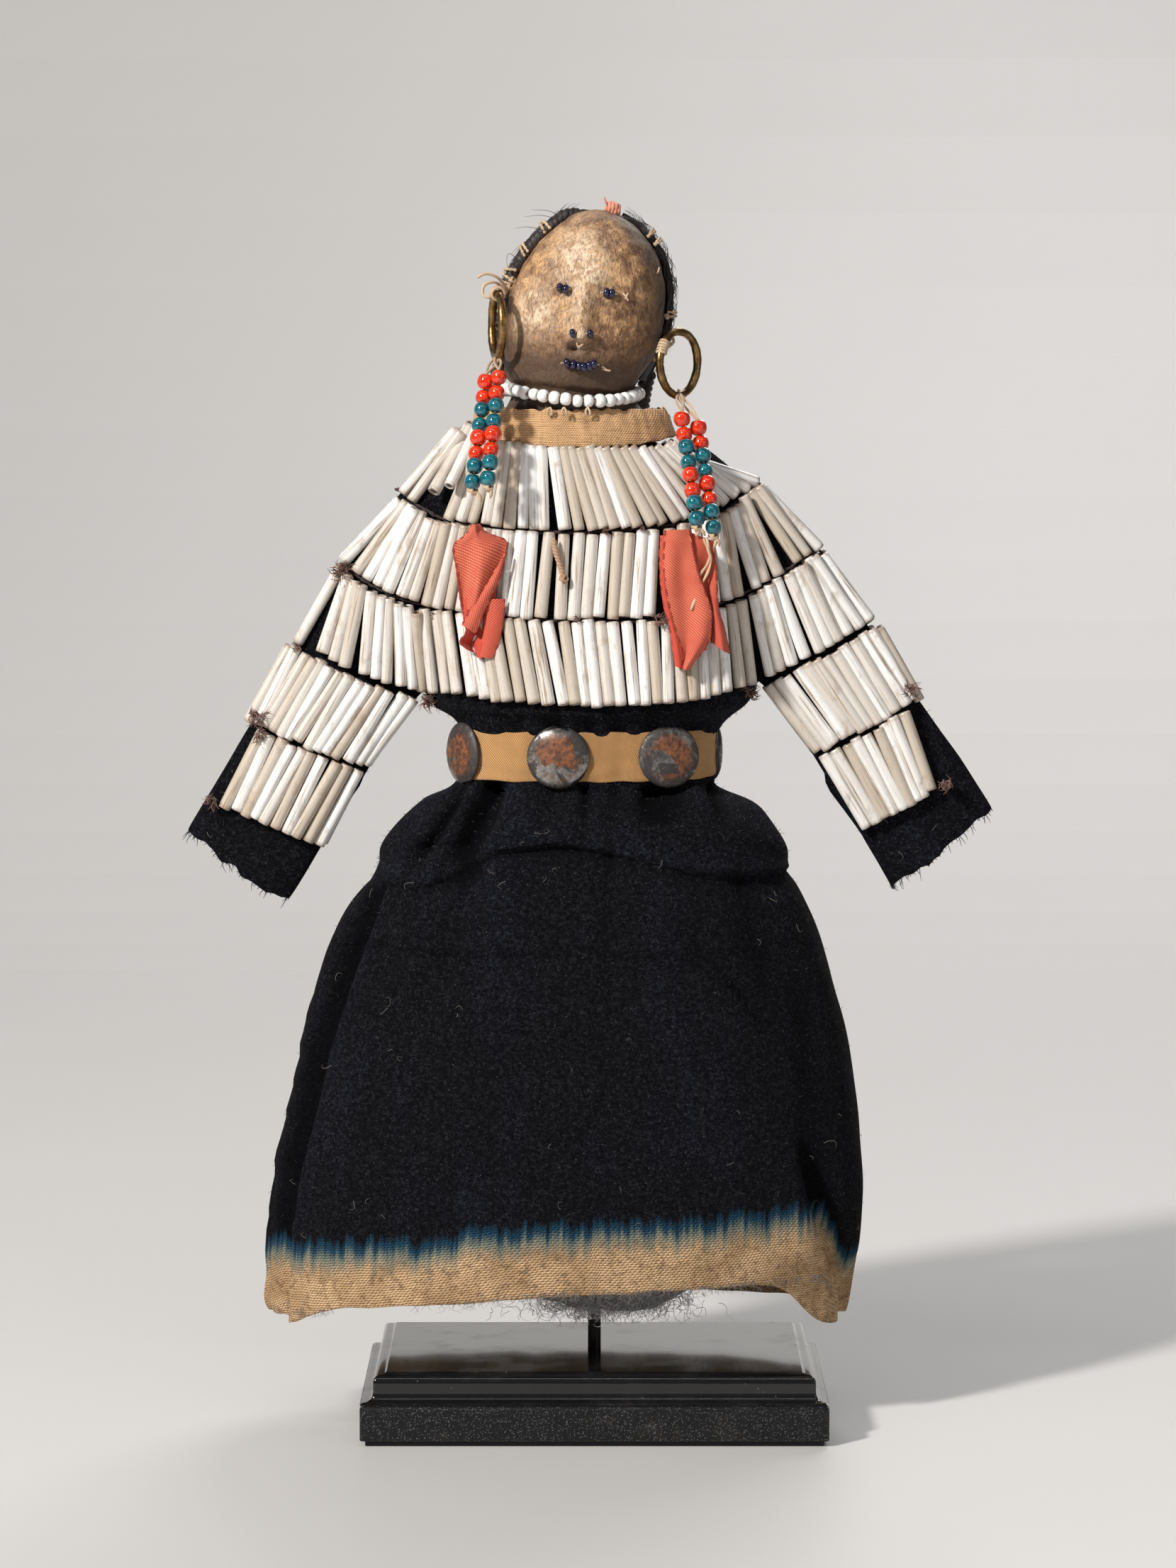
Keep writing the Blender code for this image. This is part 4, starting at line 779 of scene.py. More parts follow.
def hair_material():
    """Dark hair, with strands along each lock."""
    mat, s, into = material("dark_horsehair", 0.42)
    into["Specular IOR Level"].default_value = 0.5
    run = s.uv()
    strands = s.noise(s.scaled(run, (14.0, 0.35, 1)), 2.2, 4.0, 0.7)
    tone = s.attribute("tone")
    base = s.mix(s.span(strands, 0.40, 0.7), (0.006, 0.0045, 0.0045), (0.060, 0.046, 0.045))
    base = s.stain(base, tone, 0.25, (0.07, 0.042, 0.030))
    s.plug(into["Base Color"], base)
    bumped(s, into, strands, 0.00022, 0.8)
    return mat


def fibre_material(name, low, high, roughness=0.8, scale=900.0):
    """Twisted thread, sinew or yarn."""
    mat, s, into = material(name, roughness, sheen_weight=0.2)
    place, tone = s.coords(), s.attribute("tone")
    grain = s.noise(place, scale, 4.0, 0.65, 0.8)
    base = s.mix(s.math("MULTIPLY_ADD", grain, 0.7, s.times(tone, 0.3)), low, high)
    s.plug(into["Base Color"], base)
    bumped(s, into, grain, 0.00015, 0.7)
    return mat


def tin_material():
    """Tinned discs: bright metal at the rim, with rust and black tarnish in the middle."""
    mat, s, into = material("tarnished_tin", 0.3, 1.0)
    place = s.coords()
    patches = s.noise(place, 95.0, 6.0, 0.62, 0.5)
    fine = s.noise(place, 900.0, 5.0, 0.7)
    far = s.attribute("tone")
    bright = s.mix(s.span(fine, 0.3, 0.75), (0.20, 0.187, 0.175), (0.40, 0.38, 0.355))
    black = s.span(s.noise(s.scaled(place, (1, 1, 1), (0.4, 0.2, 0.7)), 120.0, 6.0, 0.7, 0.6), 0.42, 0.51)
    metal = s.mix(s.times(black, 0.9), bright, (0.030, 0.024, 0.022))
    ring = s.span(far, 0.9, 0.55)
    across = s.parts(place)[0]
    worse = s.most(s.span(across, 0.006, 0.014), s.span(across, -0.028, -0.036))
    rusty = s.times(s.span(s.math("MULTIPLY_ADD", worse, 0.06, patches), 0.475, 0.52), ring)
    rust = s.mix(s.span(fine, 0.3, 0.7), (0.040, 0.015, 0.008), (0.27, 0.095, 0.034))
    rust = s.stain(rust, s.span(s.noise(place, 420.0, 4.0), 0.48, 0.62), 0.7, (0.045, 0.020, 0.012))
    s.plug(into["Base Color"], s.mix(rusty, metal, rust))
    s.plug(into["Metallic"], s.minus(1.0, s.most(rusty, s.times(black, 0.6)), clamp=True))
    s.plug(into["Roughness"], s.math("MULTIPLY_ADD", s.most(rusty, black), 0.32, 0.24))
    bumped(s, into, s.math("MULTIPLY_ADD", s.times(fine, rusty), 0.6, s.times(patches, 0.5)), 0.00018, 0.5)
    return mat


def brass_material():
    """Brass with a worn shine and dark specks."""
    mat, s, into = material("aged_brass", 0.3, 1.0)
    place = s.coords()
    worn = s.noise(place, 220.0, 5.0, 0.65)
    fine = s.noise(place, 1500.0, 4.0, 0.7)
    gold = s.mix(s.span(worn, 0.35, 0.65), (0.15, 0.085, 0.032), (0.40, 0.26, 0.105))
    s.plug(into["Base Color"], s.mix(s.times(s.span(fine, 0.52, 0.7), 0.55), gold, (0.09, 0.05, 0.025)))
    s.plug(into["Roughness"], s.span(fine, 0.3, 0.7, 0.20, 0.48))
    bumped(s, into, fine, 0.00008, 0.5)
    return mat


def lacquer_material():
    """Black lacquer: glossy on top, duller at the sides and flecked there with grey specks."""
    mat, s, into = material("black_lacquer", 0.22, coat_weight=0.7, coat_roughness=0.08)
    into["Specular IOR Level"].default_value = 0.30
    place = s.coords()
    xyz = s.parts(place)
    speck = s.math("GREATER_THAN", s.noise(place, 2600.0, 2.0), 0.665)
    fine = s.math("LESS_THAN", s.cells(place, 1500.0), 0.20)
    side = s.span(xyz[2], 0.0125, 0.0115)
    dust = s.group(DUST, {"Vector": place, "Scale": 60.0, "Upward": 0.7})
    # Grey specks on the lower sides.
    black = s.mix(s.times(s.most(speck, fine), s.times(side, 0.75)),
                  (0.0045, 0.0045, 0.0050), (0.17, 0.17, 0.175))
    lint = s.math("LESS_THAN", s.cells(place, 330.0), 0.05)
    black = s.stain(black, lint, 0.5, (0.30, 0.29, 0.27))
    s.plug(into["Base Color"], s.mix(s.times(dust["Mask"], 0.05), black, (0.24, 0.22, 0.20)))
    s.plug(into["Roughness"], s.plus(s.math("MULTIPLY_ADD", side, 0.22, 0.10), s.times(dust["Mask"], 0.25)))
    s.plug(into["Coat Weight"], s.minus(0.8, s.times(side, 0.78)))
    bumped(s, into, s.noise(place, 1100.0, 3.0), 0.00006, 0.4)
    return mat


def steel_material():
    """A blackened rod with scuffs along it."""
    mat, s, into = material("blackened_rod", 0.4, 0.7)
    place = s.coords()
    scuffs = s.noise(s.scaled(place, (1, 1, 0.15)), 900.0, 4.0)
    s.plug(into["Base Color"], s.mix(s.span(scuffs, 0.4, 0.75), (0.010, 0.009, 0.008), (0.07, 0.055, 0.045)))
    bumped(s, into, scuffs, 0.00008, 0.4)
    return mat


def pad_finish_material():
    """A black finish with a fine fluff, for the thin pad under the base."""
    mat, s, into = material("black_felt", 0.95)
    fluff = s.group(FLUFF, {"Vector": s.coords(), "Scale": 1800.0})
    s.plug(into["Base Color"], s.mix(fluff["Height"], (0.006, 0.006, 0.006), (0.030, 0.030, 0.032)))
    bumped(s, into, fluff["Height"], 0.0002)
    return mat


WOOL = wool_material()
MUSLIN = weave_material("tan_muslin", (0.17, 0.085, 0.032), (0.92, 0.555, 0.27), (0.27, 0.145, 0.060),
                        0.00050, 0.0003, 1.0)
BELT_TWILL = twill_material("ochre_twill", (0.22, 0.098, 0.030), (0.80, 0.43, 0.155), (0.42, 0.205, 0.068),
                            (0.80, 0.43, 0.155), 0.00080, 1.2, 0.00022)
SILK = twill_material("coral_silk_twill", (0.26, 0.030, 0.016), (0.90, 0.225, 0.118), (0.46, 0.070, 0.038),
                      (0.78, 0.055, 0.026), 0.00085, -1.1, 0.0001, 0.05)
TUBES = tube_material()
HIDE = hide_material()
HAIR = hair_material()
PORCELAIN = porcelain_material()
RED = glass_material("red_glass", (0.55, 0.012, 0.002), (0.86, 0.055, 0.006), (0.72, 0.50, 0.42), 0.75)
TEAL = glass_material("teal_glass", (0.001, 0.065, 0.085), (0.003, 0.185, 0.235), (0.20, 0.42, 0.44), 0.25)
COBALT = glass_material("cobalt_glass", (0.0012, 0.0012, 0.012), (0.003, 0.004, 0.055), (0.06, 0.07, 0.16), 0.04)
SINEW = fibre_material("tan_sinew", (0.30, 0.17, 0.09), (0.76, 0.58, 0.38), 0.6)
YARN = fibre_material("brown_yarn", (0.050, 0.020, 0.014), (0.34, 0.165, 0.115), 0.95)
LINT = fibre_material("pale_lint", (0.08, 0.07, 0.06), (0.34, 0.30, 0.26), 0.9)
WISPS = fibre_material("grey_fleece", (0.26, 0.25, 0.26), (0.78, 0.75, 0.73), 0.95)
BLUE_THREAD = fibre_material("indigo_thread", (0.006, 0.007, 0.012), (0.045, 0.05, 0.075), 0.95)
TIN, BRASS, LACQUER, STEEL, PAD_FINISH = (tin_material(), brass_material(), lacquer_material(), steel_material(),
                                    pad_finish_material())


# Dress


def over(tree, x, z, facing=-1, fallback=0.0):
    """Where a surface is met at x and z, from the front or from behind."""
    hit = tree.ray_cast(Vector((x, facing * 0.3, z)), Vector((0, -facing, 0)))
    return (hit[0], hit[1]) if hit[0] else (Vector((x, fallback, z)), Vector((0, facing, 0)))


def seen(tree, x, z, facing=-1):
    """The place on a surface that lies behind (x, z) of the middle plane, looking from the eye."""
    eye = Vector((EYE.x, facing * abs(EYE.y), EYE.z))
    return tree.ray_cast(eye, (Vector((x, 0, z)) - eye).normalized())[0]


HEM_FRONT = ((-96, 29), (-90, 33), (-75.5, 34.6), (-60, 36), (-45, 38), (-24, 41), (-12, 42), (9, 42), (29, 43),
             (50, 44), (66, 44), (72, 29))
TUCK = ((-64, 157), (-60, 158.5), (-48, 158.5), (-40, 161.5), (-28, 168.5), (-10, 170.5), (2, 168.5), (12, 166.5),
        (24, 163.5), (34, 161.5), (44, 161), (58, 161))
# Folds under the belt: top (x, z), foot (x, z), width, depth, all in millimetres
FOLDS = (
    ((-27.5, 190), (-40, 159), 3.8, 11.0), ((-40, 181), (-54, 158), 2.2, 4.5), ((-2.6, 190), (-2.6, 171), 1.2, 4.6),
    ((19, 191), (18, 172), 5.0, 9.0), ((33.2, 190), (37, 172), 2.0, 4.0), ((-12, 188), (-14, 173), 2.6, 1.2),
    ((6.5, 188), (5, 174), 1.8, 1.5), ((-42, 188), (-52, 168), 4.5, -2.4), ((-19, 188), (-21, 168), 4.5, -1.2),
    ((28, 188), (34, 168), 2.6, -1.6), ((42, 184), (52, 168), 4.0, -1.6),
    ((4.5, 172), (3, 112), 2.6, 1.3), ((27, 144), (64, 100), 1.8, 1.5), ((-35, 160), (-50, 112), 5.0, 1.8),
    ((-56, 156), (-66, 112), 4.0, 1.2), ((42, 160), (52, 112), 6.0, 1.6), ((20, 160), (38, 60), 12.0, -1.2),
    ((60, 120), (66, 50), 5.0, 1.4), ((-28, 160), (-26, 60), 12.0, -1.0),
)
LEFT_FOLD = ((30, -88.5), (56.5, -87.5), (74, -84.5), (90, -80.5), (108, -76.5), (129, -69.5), (150, -61.5),
             (158, -59.5))
RIGHT_FLAP = ((40, 70.5), (47, 68), (56, 65), (68, 61.5), (82, 58.5))


def side_folds(x, z):
    """The front panel lies over the side panels along a fold on the left and a flap on the right."""
    across = x - float(np.interp(z * 1000, *zip(*LEFT_FOLD))) / 1000
    reach = smoothstep(0.162, 0.150, z)
    push = reach * (0.0015 * smoothstep(-0.0003, 0.0016, across) * smoothstep(0.016, 0.002, across)
                    - 0.0050 * smoothstep(0.0006, -0.0008, across) * smoothstep(-0.0110, -0.0010, across))
    across = float(np.interp(z * 1000, *zip(*RIGHT_FLAP))) / 1000 - x
    reach = smoothstep(0.088, 0.070, z)
    return push + reach * (0.0012 * smoothstep(-0.0003, 0.0016, across) * smoothstep(0.014, 0.002, across)
                           - 0.0048 * smoothstep(0.0006, -0.0008, across) * smoothstep(-0.0100, -0.0010, across))


def fold_depth(x, z):
    """How deep the folds of the skirt are at a place of its front."""
    total = 0.0
    for (x0, z0), (x1, z1), width, depth in FOLDS:
        t = (z0 - z * 1000) / (z0 - z1)
        if -0.25 < t < 1.15:
            middle = x0 + (x1 - x0) * t
            reach = smoothstep(-0.25, 0.08, t) * smoothstep(1.15, 0.35, t)
            total += depth * reach * exp(-(((x * 1000 - middle) / (width * (0.7 + 0.6 * t))) ** 2))
    return total / 1000


def shape_cloth(x, y, z):
    """How far the cloth stands proud of its plain form at this place, outwards."""
    push = 0.0
    if z < 0.2 and abs(x) < 0.105 and not (abs(x) > 0.078 and z > 0.14):
        calm = smoothstep(0.1875, 0.1835, z)
        push += 0.0011 * rough_at(x * 28, y * 28, z * 17) * calm
        push += 0.0005 * rough_at(x * 90, y * 90, z * 60) * calm
        if y < 0:
            push += side_folds(x, z) - fold_depth(x, z) * calm
            tuck = bend(TUCK, x)
            inside = smoothstep(-0.064, -0.056, x) * smoothstep(0.060, 0.052, x)
            above = smoothstep(tuck - 0.0012, tuck + 0.0006, z) * smoothstep(tuck + 0.016, tuck + 0.002, z)
            below = smoothstep(tuck - 0.009, tuck - 0.001, z) * smoothstep(tuck + 0.0005, tuck - 0.001, z)
            push += inside * (0.0016 * above - 0.0012 * below)
        else:
            lobes = 0.5 + 0.5 * sin(x * 210 + 1.0)
            push -= 0.0022 * lobes * smoothstep(0.120, 0.175, z) * calm
        gather = smoothstep(0.203, 0.206, z)
        push += gather * 0.0007 * sin(x * 560 + 2 * sin(x * 90))
    elif z > 0.2:
        push += 0.0004 * rough_at(x * 60, y * 60, z * 60)
        if abs(x) < 0.046 and z < 0.212:
            push += 0.0007 * sin(x * 560 + 2 * sin(x * 90)) * smoothstep(0.212, 0.204, z)
    else:
        push += 0.0007 * rough_at(x * 60, y * 60 + 9, z * 60)
    return push


# Left and right cuff: a point (x, z) of the cut, and the way out of the sleeve
CUFFS = (((-0.1195, 0.1745), Vector((-0.626, 0, -0.780))), ((0.1175, 0.1810), Vector((0.641, 0, -0.767))))


def make_dress():
    """The wool dress, from the plain solid: folds, tuck, flaps, ragged cuffs and a wavy hem."""
    mesh = finer("dress")
    wear = []
    for v in mesh.vertices:
        x, y, z = v.co
        outward = Vector((x * 0.35, y * 1.6 if abs(x) < 0.09 else y * 4, 0))
        push = shape_cloth(x, y, z)
        # High on fold ridges and low in fold grooves: from it the wool paints sheen and wear on the ridges and shade in
        # the grooves.
        wear.append(min(1.0, max(0.0, 0.5 + push * (190 if push > 0 else 130))))
        if outward.length > 1e-6:
            v.co += outward.normalized() * push
        if abs(x) > 0.08 and z < 0.19:
            edge, out = CUFFS[x > 0]
            past = (x - edge[0]) * out.x + (z - edge[1]) * out.z
            ragged = rough_at(x * 150, 5.0, z * 150) * 0.0016 + rough_at(x * 420, 2.0, z * 420) * 0.0008
            v.co += out * (smoothstep(-0.006, 0.0, past) * ragged)
        lower = smoothstep(0.06, 0.03, z) * (abs(x) < 0.11)
        v.co.z += lower * 0.0007 * rough_at(x * 120, 0.3 if y < 0 else 4.0, 0.5)
    give(mesh, "wear", wear)
    spread = []
    for loop in mesh.loops:
        x, y, z = mesh.vertices[loop.vertex_index].co
        front = smoothstep(0.006, -0.006, y)
        hem = bend(HEM_FRONT, x) * front + 0.029 * (1 - front)
        side = 0.039 - abs(y) if z < 0.19 else 0.0
        spread += [x + copysign(0.8 * side, x), z - hem if z < 0.19 and abs(x) < 0.105 and z < 0.14 else z]
    give_uv(mesh, spread)
    return piece("wool_dress", mesh, WOOL, ("dress",))


DRESS = make_dress()


def tree_of(obj):
    """A piece's surface, to be met by rays."""
    bm = bmesh.new()
    bm.from_mesh(obj.data)
    made = BVHTree.FromBMesh(bm)
    bm.free()
    return made


CLOTH = tree_of(DRESS)


# Tube beads

TUBE_LENGTH = 0.0245
TUBE_WIDTH = 0.00355
LINE_TOP = ((-42, 286), (-38, 286.5), (-30, 284.6), (-20, 282.9), (-6, 282.0), (10, 282.4), (22, 284.6), (29, 286.6),
            (33, 286.5))
LINE_A = ((-57, 270), (-46, 262), (-38, 259.5), (-25, 257.5), (-10, 257), (-2.5, 257), (9, 258), (20, 259), (35, 262),
          (44, 268.5), (49, 274))
LINE_B = ((-75.5, 250.5), (-67, 244), (-60, 240), (-52, 237), (-38, 235), (-25, 233), (-5, 231.5), (17, 232),
          (36.5, 237), (51, 244), (59, 249), (67.5, 254.5))
LINE_C = ((-88.5, 227), (-82, 223), (-76, 219.5), (-65, 215), (-52, 212.0), (-40, 209.0), (-20, 207), (-6, 206.6),
          (9, 207), (23, 207.2), (37, 209.2), (47, 213.5), (59.5, 220.5), (66, 222.5), (74, 228), (83, 233.5))
LINE_D_LEFT = ((-101, 204.5), (-96, 201), (-83.5, 195), (-71, 189.5), (-58, 187.5))
LINE_D_RIGHT = ((56, 190), (62, 192), (68.5, 194.5), (81, 201), (88, 205), (95.5, 210.5))
LINE_E_LEFT = ((-110, 178), (-102, 176), (-93, 172.5), (-78, 167), (-68.5, 164.5))
LINE_E_RIGHT = ((68, 168), (74, 170), (84, 175), (92, 179), (99, 184))


def laid(line, facing, start=0.0, end=1.0):
    """A row's line laid on the cloth, as evenly spaced points between two shares of it."""
    flat = curve_through([Vector((x, 0, z)) / 1000 for x, z in line], 90)
    points = []
    for p in flat:
        for drop in range(24):
            hit = seen(CLOTH, p.x, p.z - 0.0006 * drop, facing)
            if hit and (abs(p.x) > 0.033 or facing * hit.y > 0.011):
                points.append(hit + UP * min(0.0030, 0.0006 * drop))
                break
    return [along(points, start + (end - start) * k / 200) for k in range(201)]


def tube_template():
    """One tube, a unit long and a unit wide, hollow at both ends, a little fatter at one."""
    # One end from the bore outwards: radius, height, and how far from the middle its looks are
    end = ((0.24, -0.44, 1.12), (0.36, -0.5, 1.01), (0.492, -0.4925, 0.97), (0.505, -0.465, 0.93))
    profile = [(r, h, -v) for r, h, v in end] + [(r, -h, v) for r, h, v in reversed(end)]
    mould = Mould()
    sides = 10
    rings = []
    for r, h, _ in profile:
        r *= 1.0 - 0.10 * h
        rings.append([Vector((r * cos(a), r * sin(a), h)) for a in full_turn(sides)])
    mould.rings(rings)
    faces = iter(range(len(mould.faces)))
    for r in range(len(rings) - 1):
        low, high = (profile[r][2] + 1) / 2, (profile[r + 1][2] + 1) / 2
        for i in range(sides):
            u, v = i / sides, (i + 1) / sides
            mould.uvs[next(faces)] = [(u, low), (v, low), (v, high), (u, high)]
    # The bore's rings and its caps lie past 1 from the middle, where the tube material paints shade.
    for cap in faces:
        mould.uvs[cap] = [(0.5, 1.12)] * sides
    return pattern_of(mould, "tube_pattern")


def tube_spots(top, foot, facing, count, gaps=()):
    """Where each tube of a row lies: evenly along the top line, fanned along the foot line with the gaps given."""
    widths = [1.0 + DICE.uniform(-0.09, 0.09) for _ in range(count)]
    foot_steps = [w + DICE.choice((0, 0, 0.06, 0.16, 0.34)) for w in widths]
    for share, extra in gaps:
        foot_steps[min(count - 1, int(share * count))] += extra
    total = sum(foot_steps)
    spots, run, top_run = [], 0.0, 0.0
    spread = min(1.50, length_of(foot) / length_of(top)) if count > 20 else 1.0
    wide_top = [(w + 0.70 * (f - w)) * (spread - 2.4 * (spread - 1) * abs(2 * (i + 0.5) / count - 1) ** 1.4)
                for i, (w, f) in enumerate(zip(widths, foot_steps))]
    pitch = length_of(top) / count / TUBE_WIDTH
    for i in range(count):
        low = along(foot, (run + foot_steps[i] - widths[i] / 2) / total)
        run += foot_steps[i]
        high = along(top, (top_run + wide_top[i] / 2 + DICE.uniform(-0.12, 0.12)) / sum(wide_top))
        top_run += wide_top[i]
        crowded = pitch * wide_top[i] * count / sum(wide_top)
        raised = min(0.9, max(0.0, 1.0 - crowded) * 1.5) * (i % 2)
        high = high + Vector((0, facing * TUBE_WIDTH * raised, 0))
        spots.append(lay_tube(high, low, facing, DICE.uniform(0, 0.15), widths[i]))
    return spots


def lay_tube(high, low, facing, proud, width):
    """A tube from high to low, lifted until it rests on the cloth."""
    run = (high - low).normalized()
    middle = (high + low) / 2 + wander(low, 0.004, 0.0004)
    outward = Vector((0, facing, 0))
    outward = (outward - run * outward.dot(run)).normalized()
    reach = 0.5 * TUBE_LENGTH * 0.94
    lift = -1.0
    for t in (-1, -0.6, -0.2, 0.2, 0.6, 1):
        point = middle + run * reach * t
        hit = CLOTH.ray_cast(point + outward * 0.03, -outward, 0.06)[0]
        if hit:
            lift = max(lift, (hit - point).dot(outward))
    lift = lift if lift > -1 else 0.0
    centre = middle + outward * (lift + TUBE_WIDTH * (0.52 + 0.30 * proud))
    tilt = DICE.uniform(-0.030, 0.030)
    side = run.cross(outward)
    run = (run + side * tilt).normalized()
    side = run.cross(outward).normalized()
    turn = Matrix((side, run.cross(side), run)).transposed()
    turn = turn @ Matrix.Rotation(DICE.uniform(0, 6.28), 3, "Z")
    if DICE.random() < 0.4:
        turn = turn @ Matrix.Rotation(pi, 3, "X")
    tone = DICE.random() ** 1.15
    return centre, turn, (width, width, 1.0 + DICE.uniform(-0.035, 0.025)), tone


def make_tube_rows():
    """Every row of tubes: three across the cape, and two on each sleeve, front and back."""
    pattern = tube_template()
    rows = []
    for facing, word in ((-1, "front"), (1, "back")):
        few = 1.0 if facing < 0 else 0.97
        whole = (
            ("1", LINE_TOP, LINE_A, 30, ((0.07, 0.6), (0.45, 0.9), (0.68, 0.35), (0.86, 0.7))),
            ("2", LINE_A, LINE_B, 37, ((0.05, 0.6), (0.14, 0.35), (0.47, 0.5), (0.68, 1.0), (0.86, 0.5), (0.93, 0.6))),
            ("3", LINE_B, LINE_C, 47, ((0.03, 1.6), (0.10, 0.7), (0.16, 0.25), (0.44, 0.3), (0.80, 0.5), (0.88, 0.4))),
        )
        for number, top, foot, count, gaps in whole:
            spots = tube_spots(laid(top, facing, 0.02, 0.98), laid(foot, facing, 0.01, 0.99), facing,
                               round(count * few), gaps if facing < 0 else ())
            rows.append((f"tube_row_{number}_{word}", spots))
        sleeves = (
            ("left", "4", LINE_C, LINE_D_LEFT, 14, (0.0, 0.235), (0.02, 0.99), ((0.5, 0.4), (0.8, 0.4))),
            ("left", "5", LINE_D_LEFT, LINE_E_LEFT, 10, (0.13, 0.99), (0.05, 0.98), ((0.6, 0.3),)),
            ("right", "4", LINE_C, LINE_D_RIGHT, 13, (0.775, 0.995), (0.02, 0.97), ((0.3, 0.4),)),
            ("right", "5", LINE_D_RIGHT, LINE_E_RIGHT, 9, (0.02, 0.80), (0.02, 0.97), ((0.4, 0.3),)),
        )
        for hand, number, top, foot, count, part, foot_part, gaps in sleeves:
            spots = tube_spots(laid(top, facing, *part), laid(foot, facing, *foot_part), facing, count,
                               gaps if facing < 0 else ())
            rows.append((f"{hand}_sleeve_row_{number}_{word}", spots))
    for name, spots in rows:
        beads(name, spots, pattern, TUBE_WIDTH, TUBE_LENGTH, 0.012, 3, TUBES)
    bpy.data.objects.remove(pattern)


make_tube_rows()


# Head and neck

HEAD_FOOT = Vector((-0.0055, 0, 0.2975))
HEAD_MIDDLE = Vector((-0.0033, 0, 0.322))
HEAD_HEIGHT = 0.0515
HEAD_HALF_WIDTH = 0.0224
HEAD_HALF_DEPTH = 0.0195
HEAD_LEAN = Matrix.Rotation(radians(7), 3, "Y")
# Sections of the head: share of its height, then its left, right and depth as shares of the half sizes
HEAD_SECTIONS = ((0.0, 0.90, 0.68, 0.86), (0.10, 0.94, 0.79, 0.93), (0.30, 0.975, 0.97, 0.99), (0.55, 0.93, 0.985, 1.0),
                 (0.75, 0.73, 0.875, 0.86), (0.88, 0.50, 0.66, 0.62), (0.96, 0.31, 0.43, 0.36), (1.0, 0.08, 0.14, 0.10))
HEAD_SIDES = curve_through([(left, right, share) for share, left, right, _ in HEAD_SECTIONS], 90)
HEAD_DEPTHS = curve_through([(deep, 0, share) for share, _, _, deep in HEAD_SECTIONS], 90)


def section_of(share):
    """Left, right and depth shares of the head at a share of its height."""
    left = float(np.interp(share, [p.z for p in HEAD_SIDES], [p.x for p in HEAD_SIDES]))
    right = float(np.interp(share, [p.z for p in HEAD_SIDES], [p.y for p in HEAD_SIDES]))
    deep = float(np.interp(share, [p.z for p in HEAD_DEPTHS], [p.x for p in HEAD_DEPTHS]))
    return left, right, deep


def head_relief(x, share):
    """The soft form of the face: brow, nose ridge, sockets, cheeks and the pinched hide below the nose."""
    def mound(x0, s0, wide, tall, height):
        return height * exp(-((x - x0) / wide) ** 2 - ((share - s0) / tall) ** 2)

    nose = smoothstep(0.66, 0.42, share) * smoothstep(0.245, 0.300, share)
    ridge = 0.0030 * exp(-((x + 0.0006) / 0.0027) ** 2) * nose
    lip = mound(0.0004, 0.285, 0.0032, 0.040, 0.0011) + mound(-0.0038, 0.272, 0.0011, 0.018, 0.0012)
    sockets = mound(-0.0070, 0.55, 0.0050, 0.060, -0.0011) + mound(0.0062, 0.55, 0.0050, 0.060, -0.0010)
    creases = mound(-0.0062, 0.40, 0.0022, 0.10, -0.0009) + mound(0.0050, 0.40, 0.0024, 0.10, -0.0008)
    pit = mound(-0.0016, 0.235, 0.0013, 0.022, -0.0030)
    fold = mound(-0.0060, 0.275, 0.0050, 0.014, -0.0006) + mound(0.0052, 0.255, 0.0030, 0.020, -0.0004)
    cheeks = mound(-0.0130, 0.36, 0.0060, 0.14, 0.0007) + mound(0.0130, 0.36, 0.0070, 0.16, 0.0005)
    return ridge + lip + sockets + creases + pit + fold + cheeks


def head_point(angle, share, grow=0.0):
    """A point of the head. The angle runs from straight ahead, 0, through the right side, a quarter turn."""
    left, right, deep = section_of(share)
    half_left, half_right = HEAD_HALF_WIDTH * left + grow, HEAD_HALF_WIDTH * right + grow
    deep = HEAD_HALF_DEPTH * (0.12 + 0.88 * deep) + grow
    x = (half_right - half_left) / 2 + (half_right + half_left) / 2 * sin(angle)
    y = -deep * cos(angle)
    if cos(angle) > 0:
        y -= head_relief(x, share) * cos(angle) ** 0.5
    return HEAD_FOOT + HEAD_LEAN @ Vector((x, y, HEAD_HEIGHT * share))


def make_head():
    """The hide head and neck as one padded piece, with the face's relief."""
    around = 160
    rings = []
    for z, wide, deep, x0 in ((0.2800, 0.0232, 0.0150, -0.0050), (0.2860, 0.0222, 0.0150, -0.0050),
                              (0.2915, 0.0200, 0.0152, -0.0058), (0.2958, 0.0172, 0.0160, -0.0066)):
        rings.append([Vector((x0 + wide * sin(a), -deep * cos(a), z)) for a in full_turn(around)])
    shares = [0.0, 0.015] + [0.03 + 0.955 * k / 92 for k in range(93)] + [0.994, 1.0]
    for share in shares:
        tuck = 0.0018 * smoothstep(0.03, 0.0, share)
        rings.append([head_point(a, share, -tuck) for a in full_turn(around)])
    for ring in rings[:6]:
        ring[:] = [p + wander(p, 0.006, 0.0003) for p in ring]
    for ring in rings[6:]:
        for k, p in enumerate(ring):
            out = (p - HEAD_MIDDLE - Vector((p.x * 0.4, 0, 0))).normalized()
            rough = noise.noise(p * 190) * 0.00042 + noise.noise(p * 420) * 0.00022 + noise.noise(p * 800) * 0.00012
            if p.y < 0:
                fine = 1 - abs(rough_at(p.x * 300, p.y * 200, p.z * 170)) * 2.6
                rough += 0.00055 * max(0.0, fine) * smoothstep(0.300, 0.312, p.z) * smoothstep(0.340, 0.322, p.z)
            ring[k] = p + out * rough
    top = sum(rings[-1], Vector()) / around
    rings.append([p.lerp(top, 0.55) + UP * 0.0003 for p in rings[-1]])
    mould = Mould()
    mould.rings(list(reversed(rings)))
    head = piece("hide_head", mould, HIDE, ("hide_body",))
    return head


HEAD = make_head()
HEAD_SKIN = tree_of(HEAD)


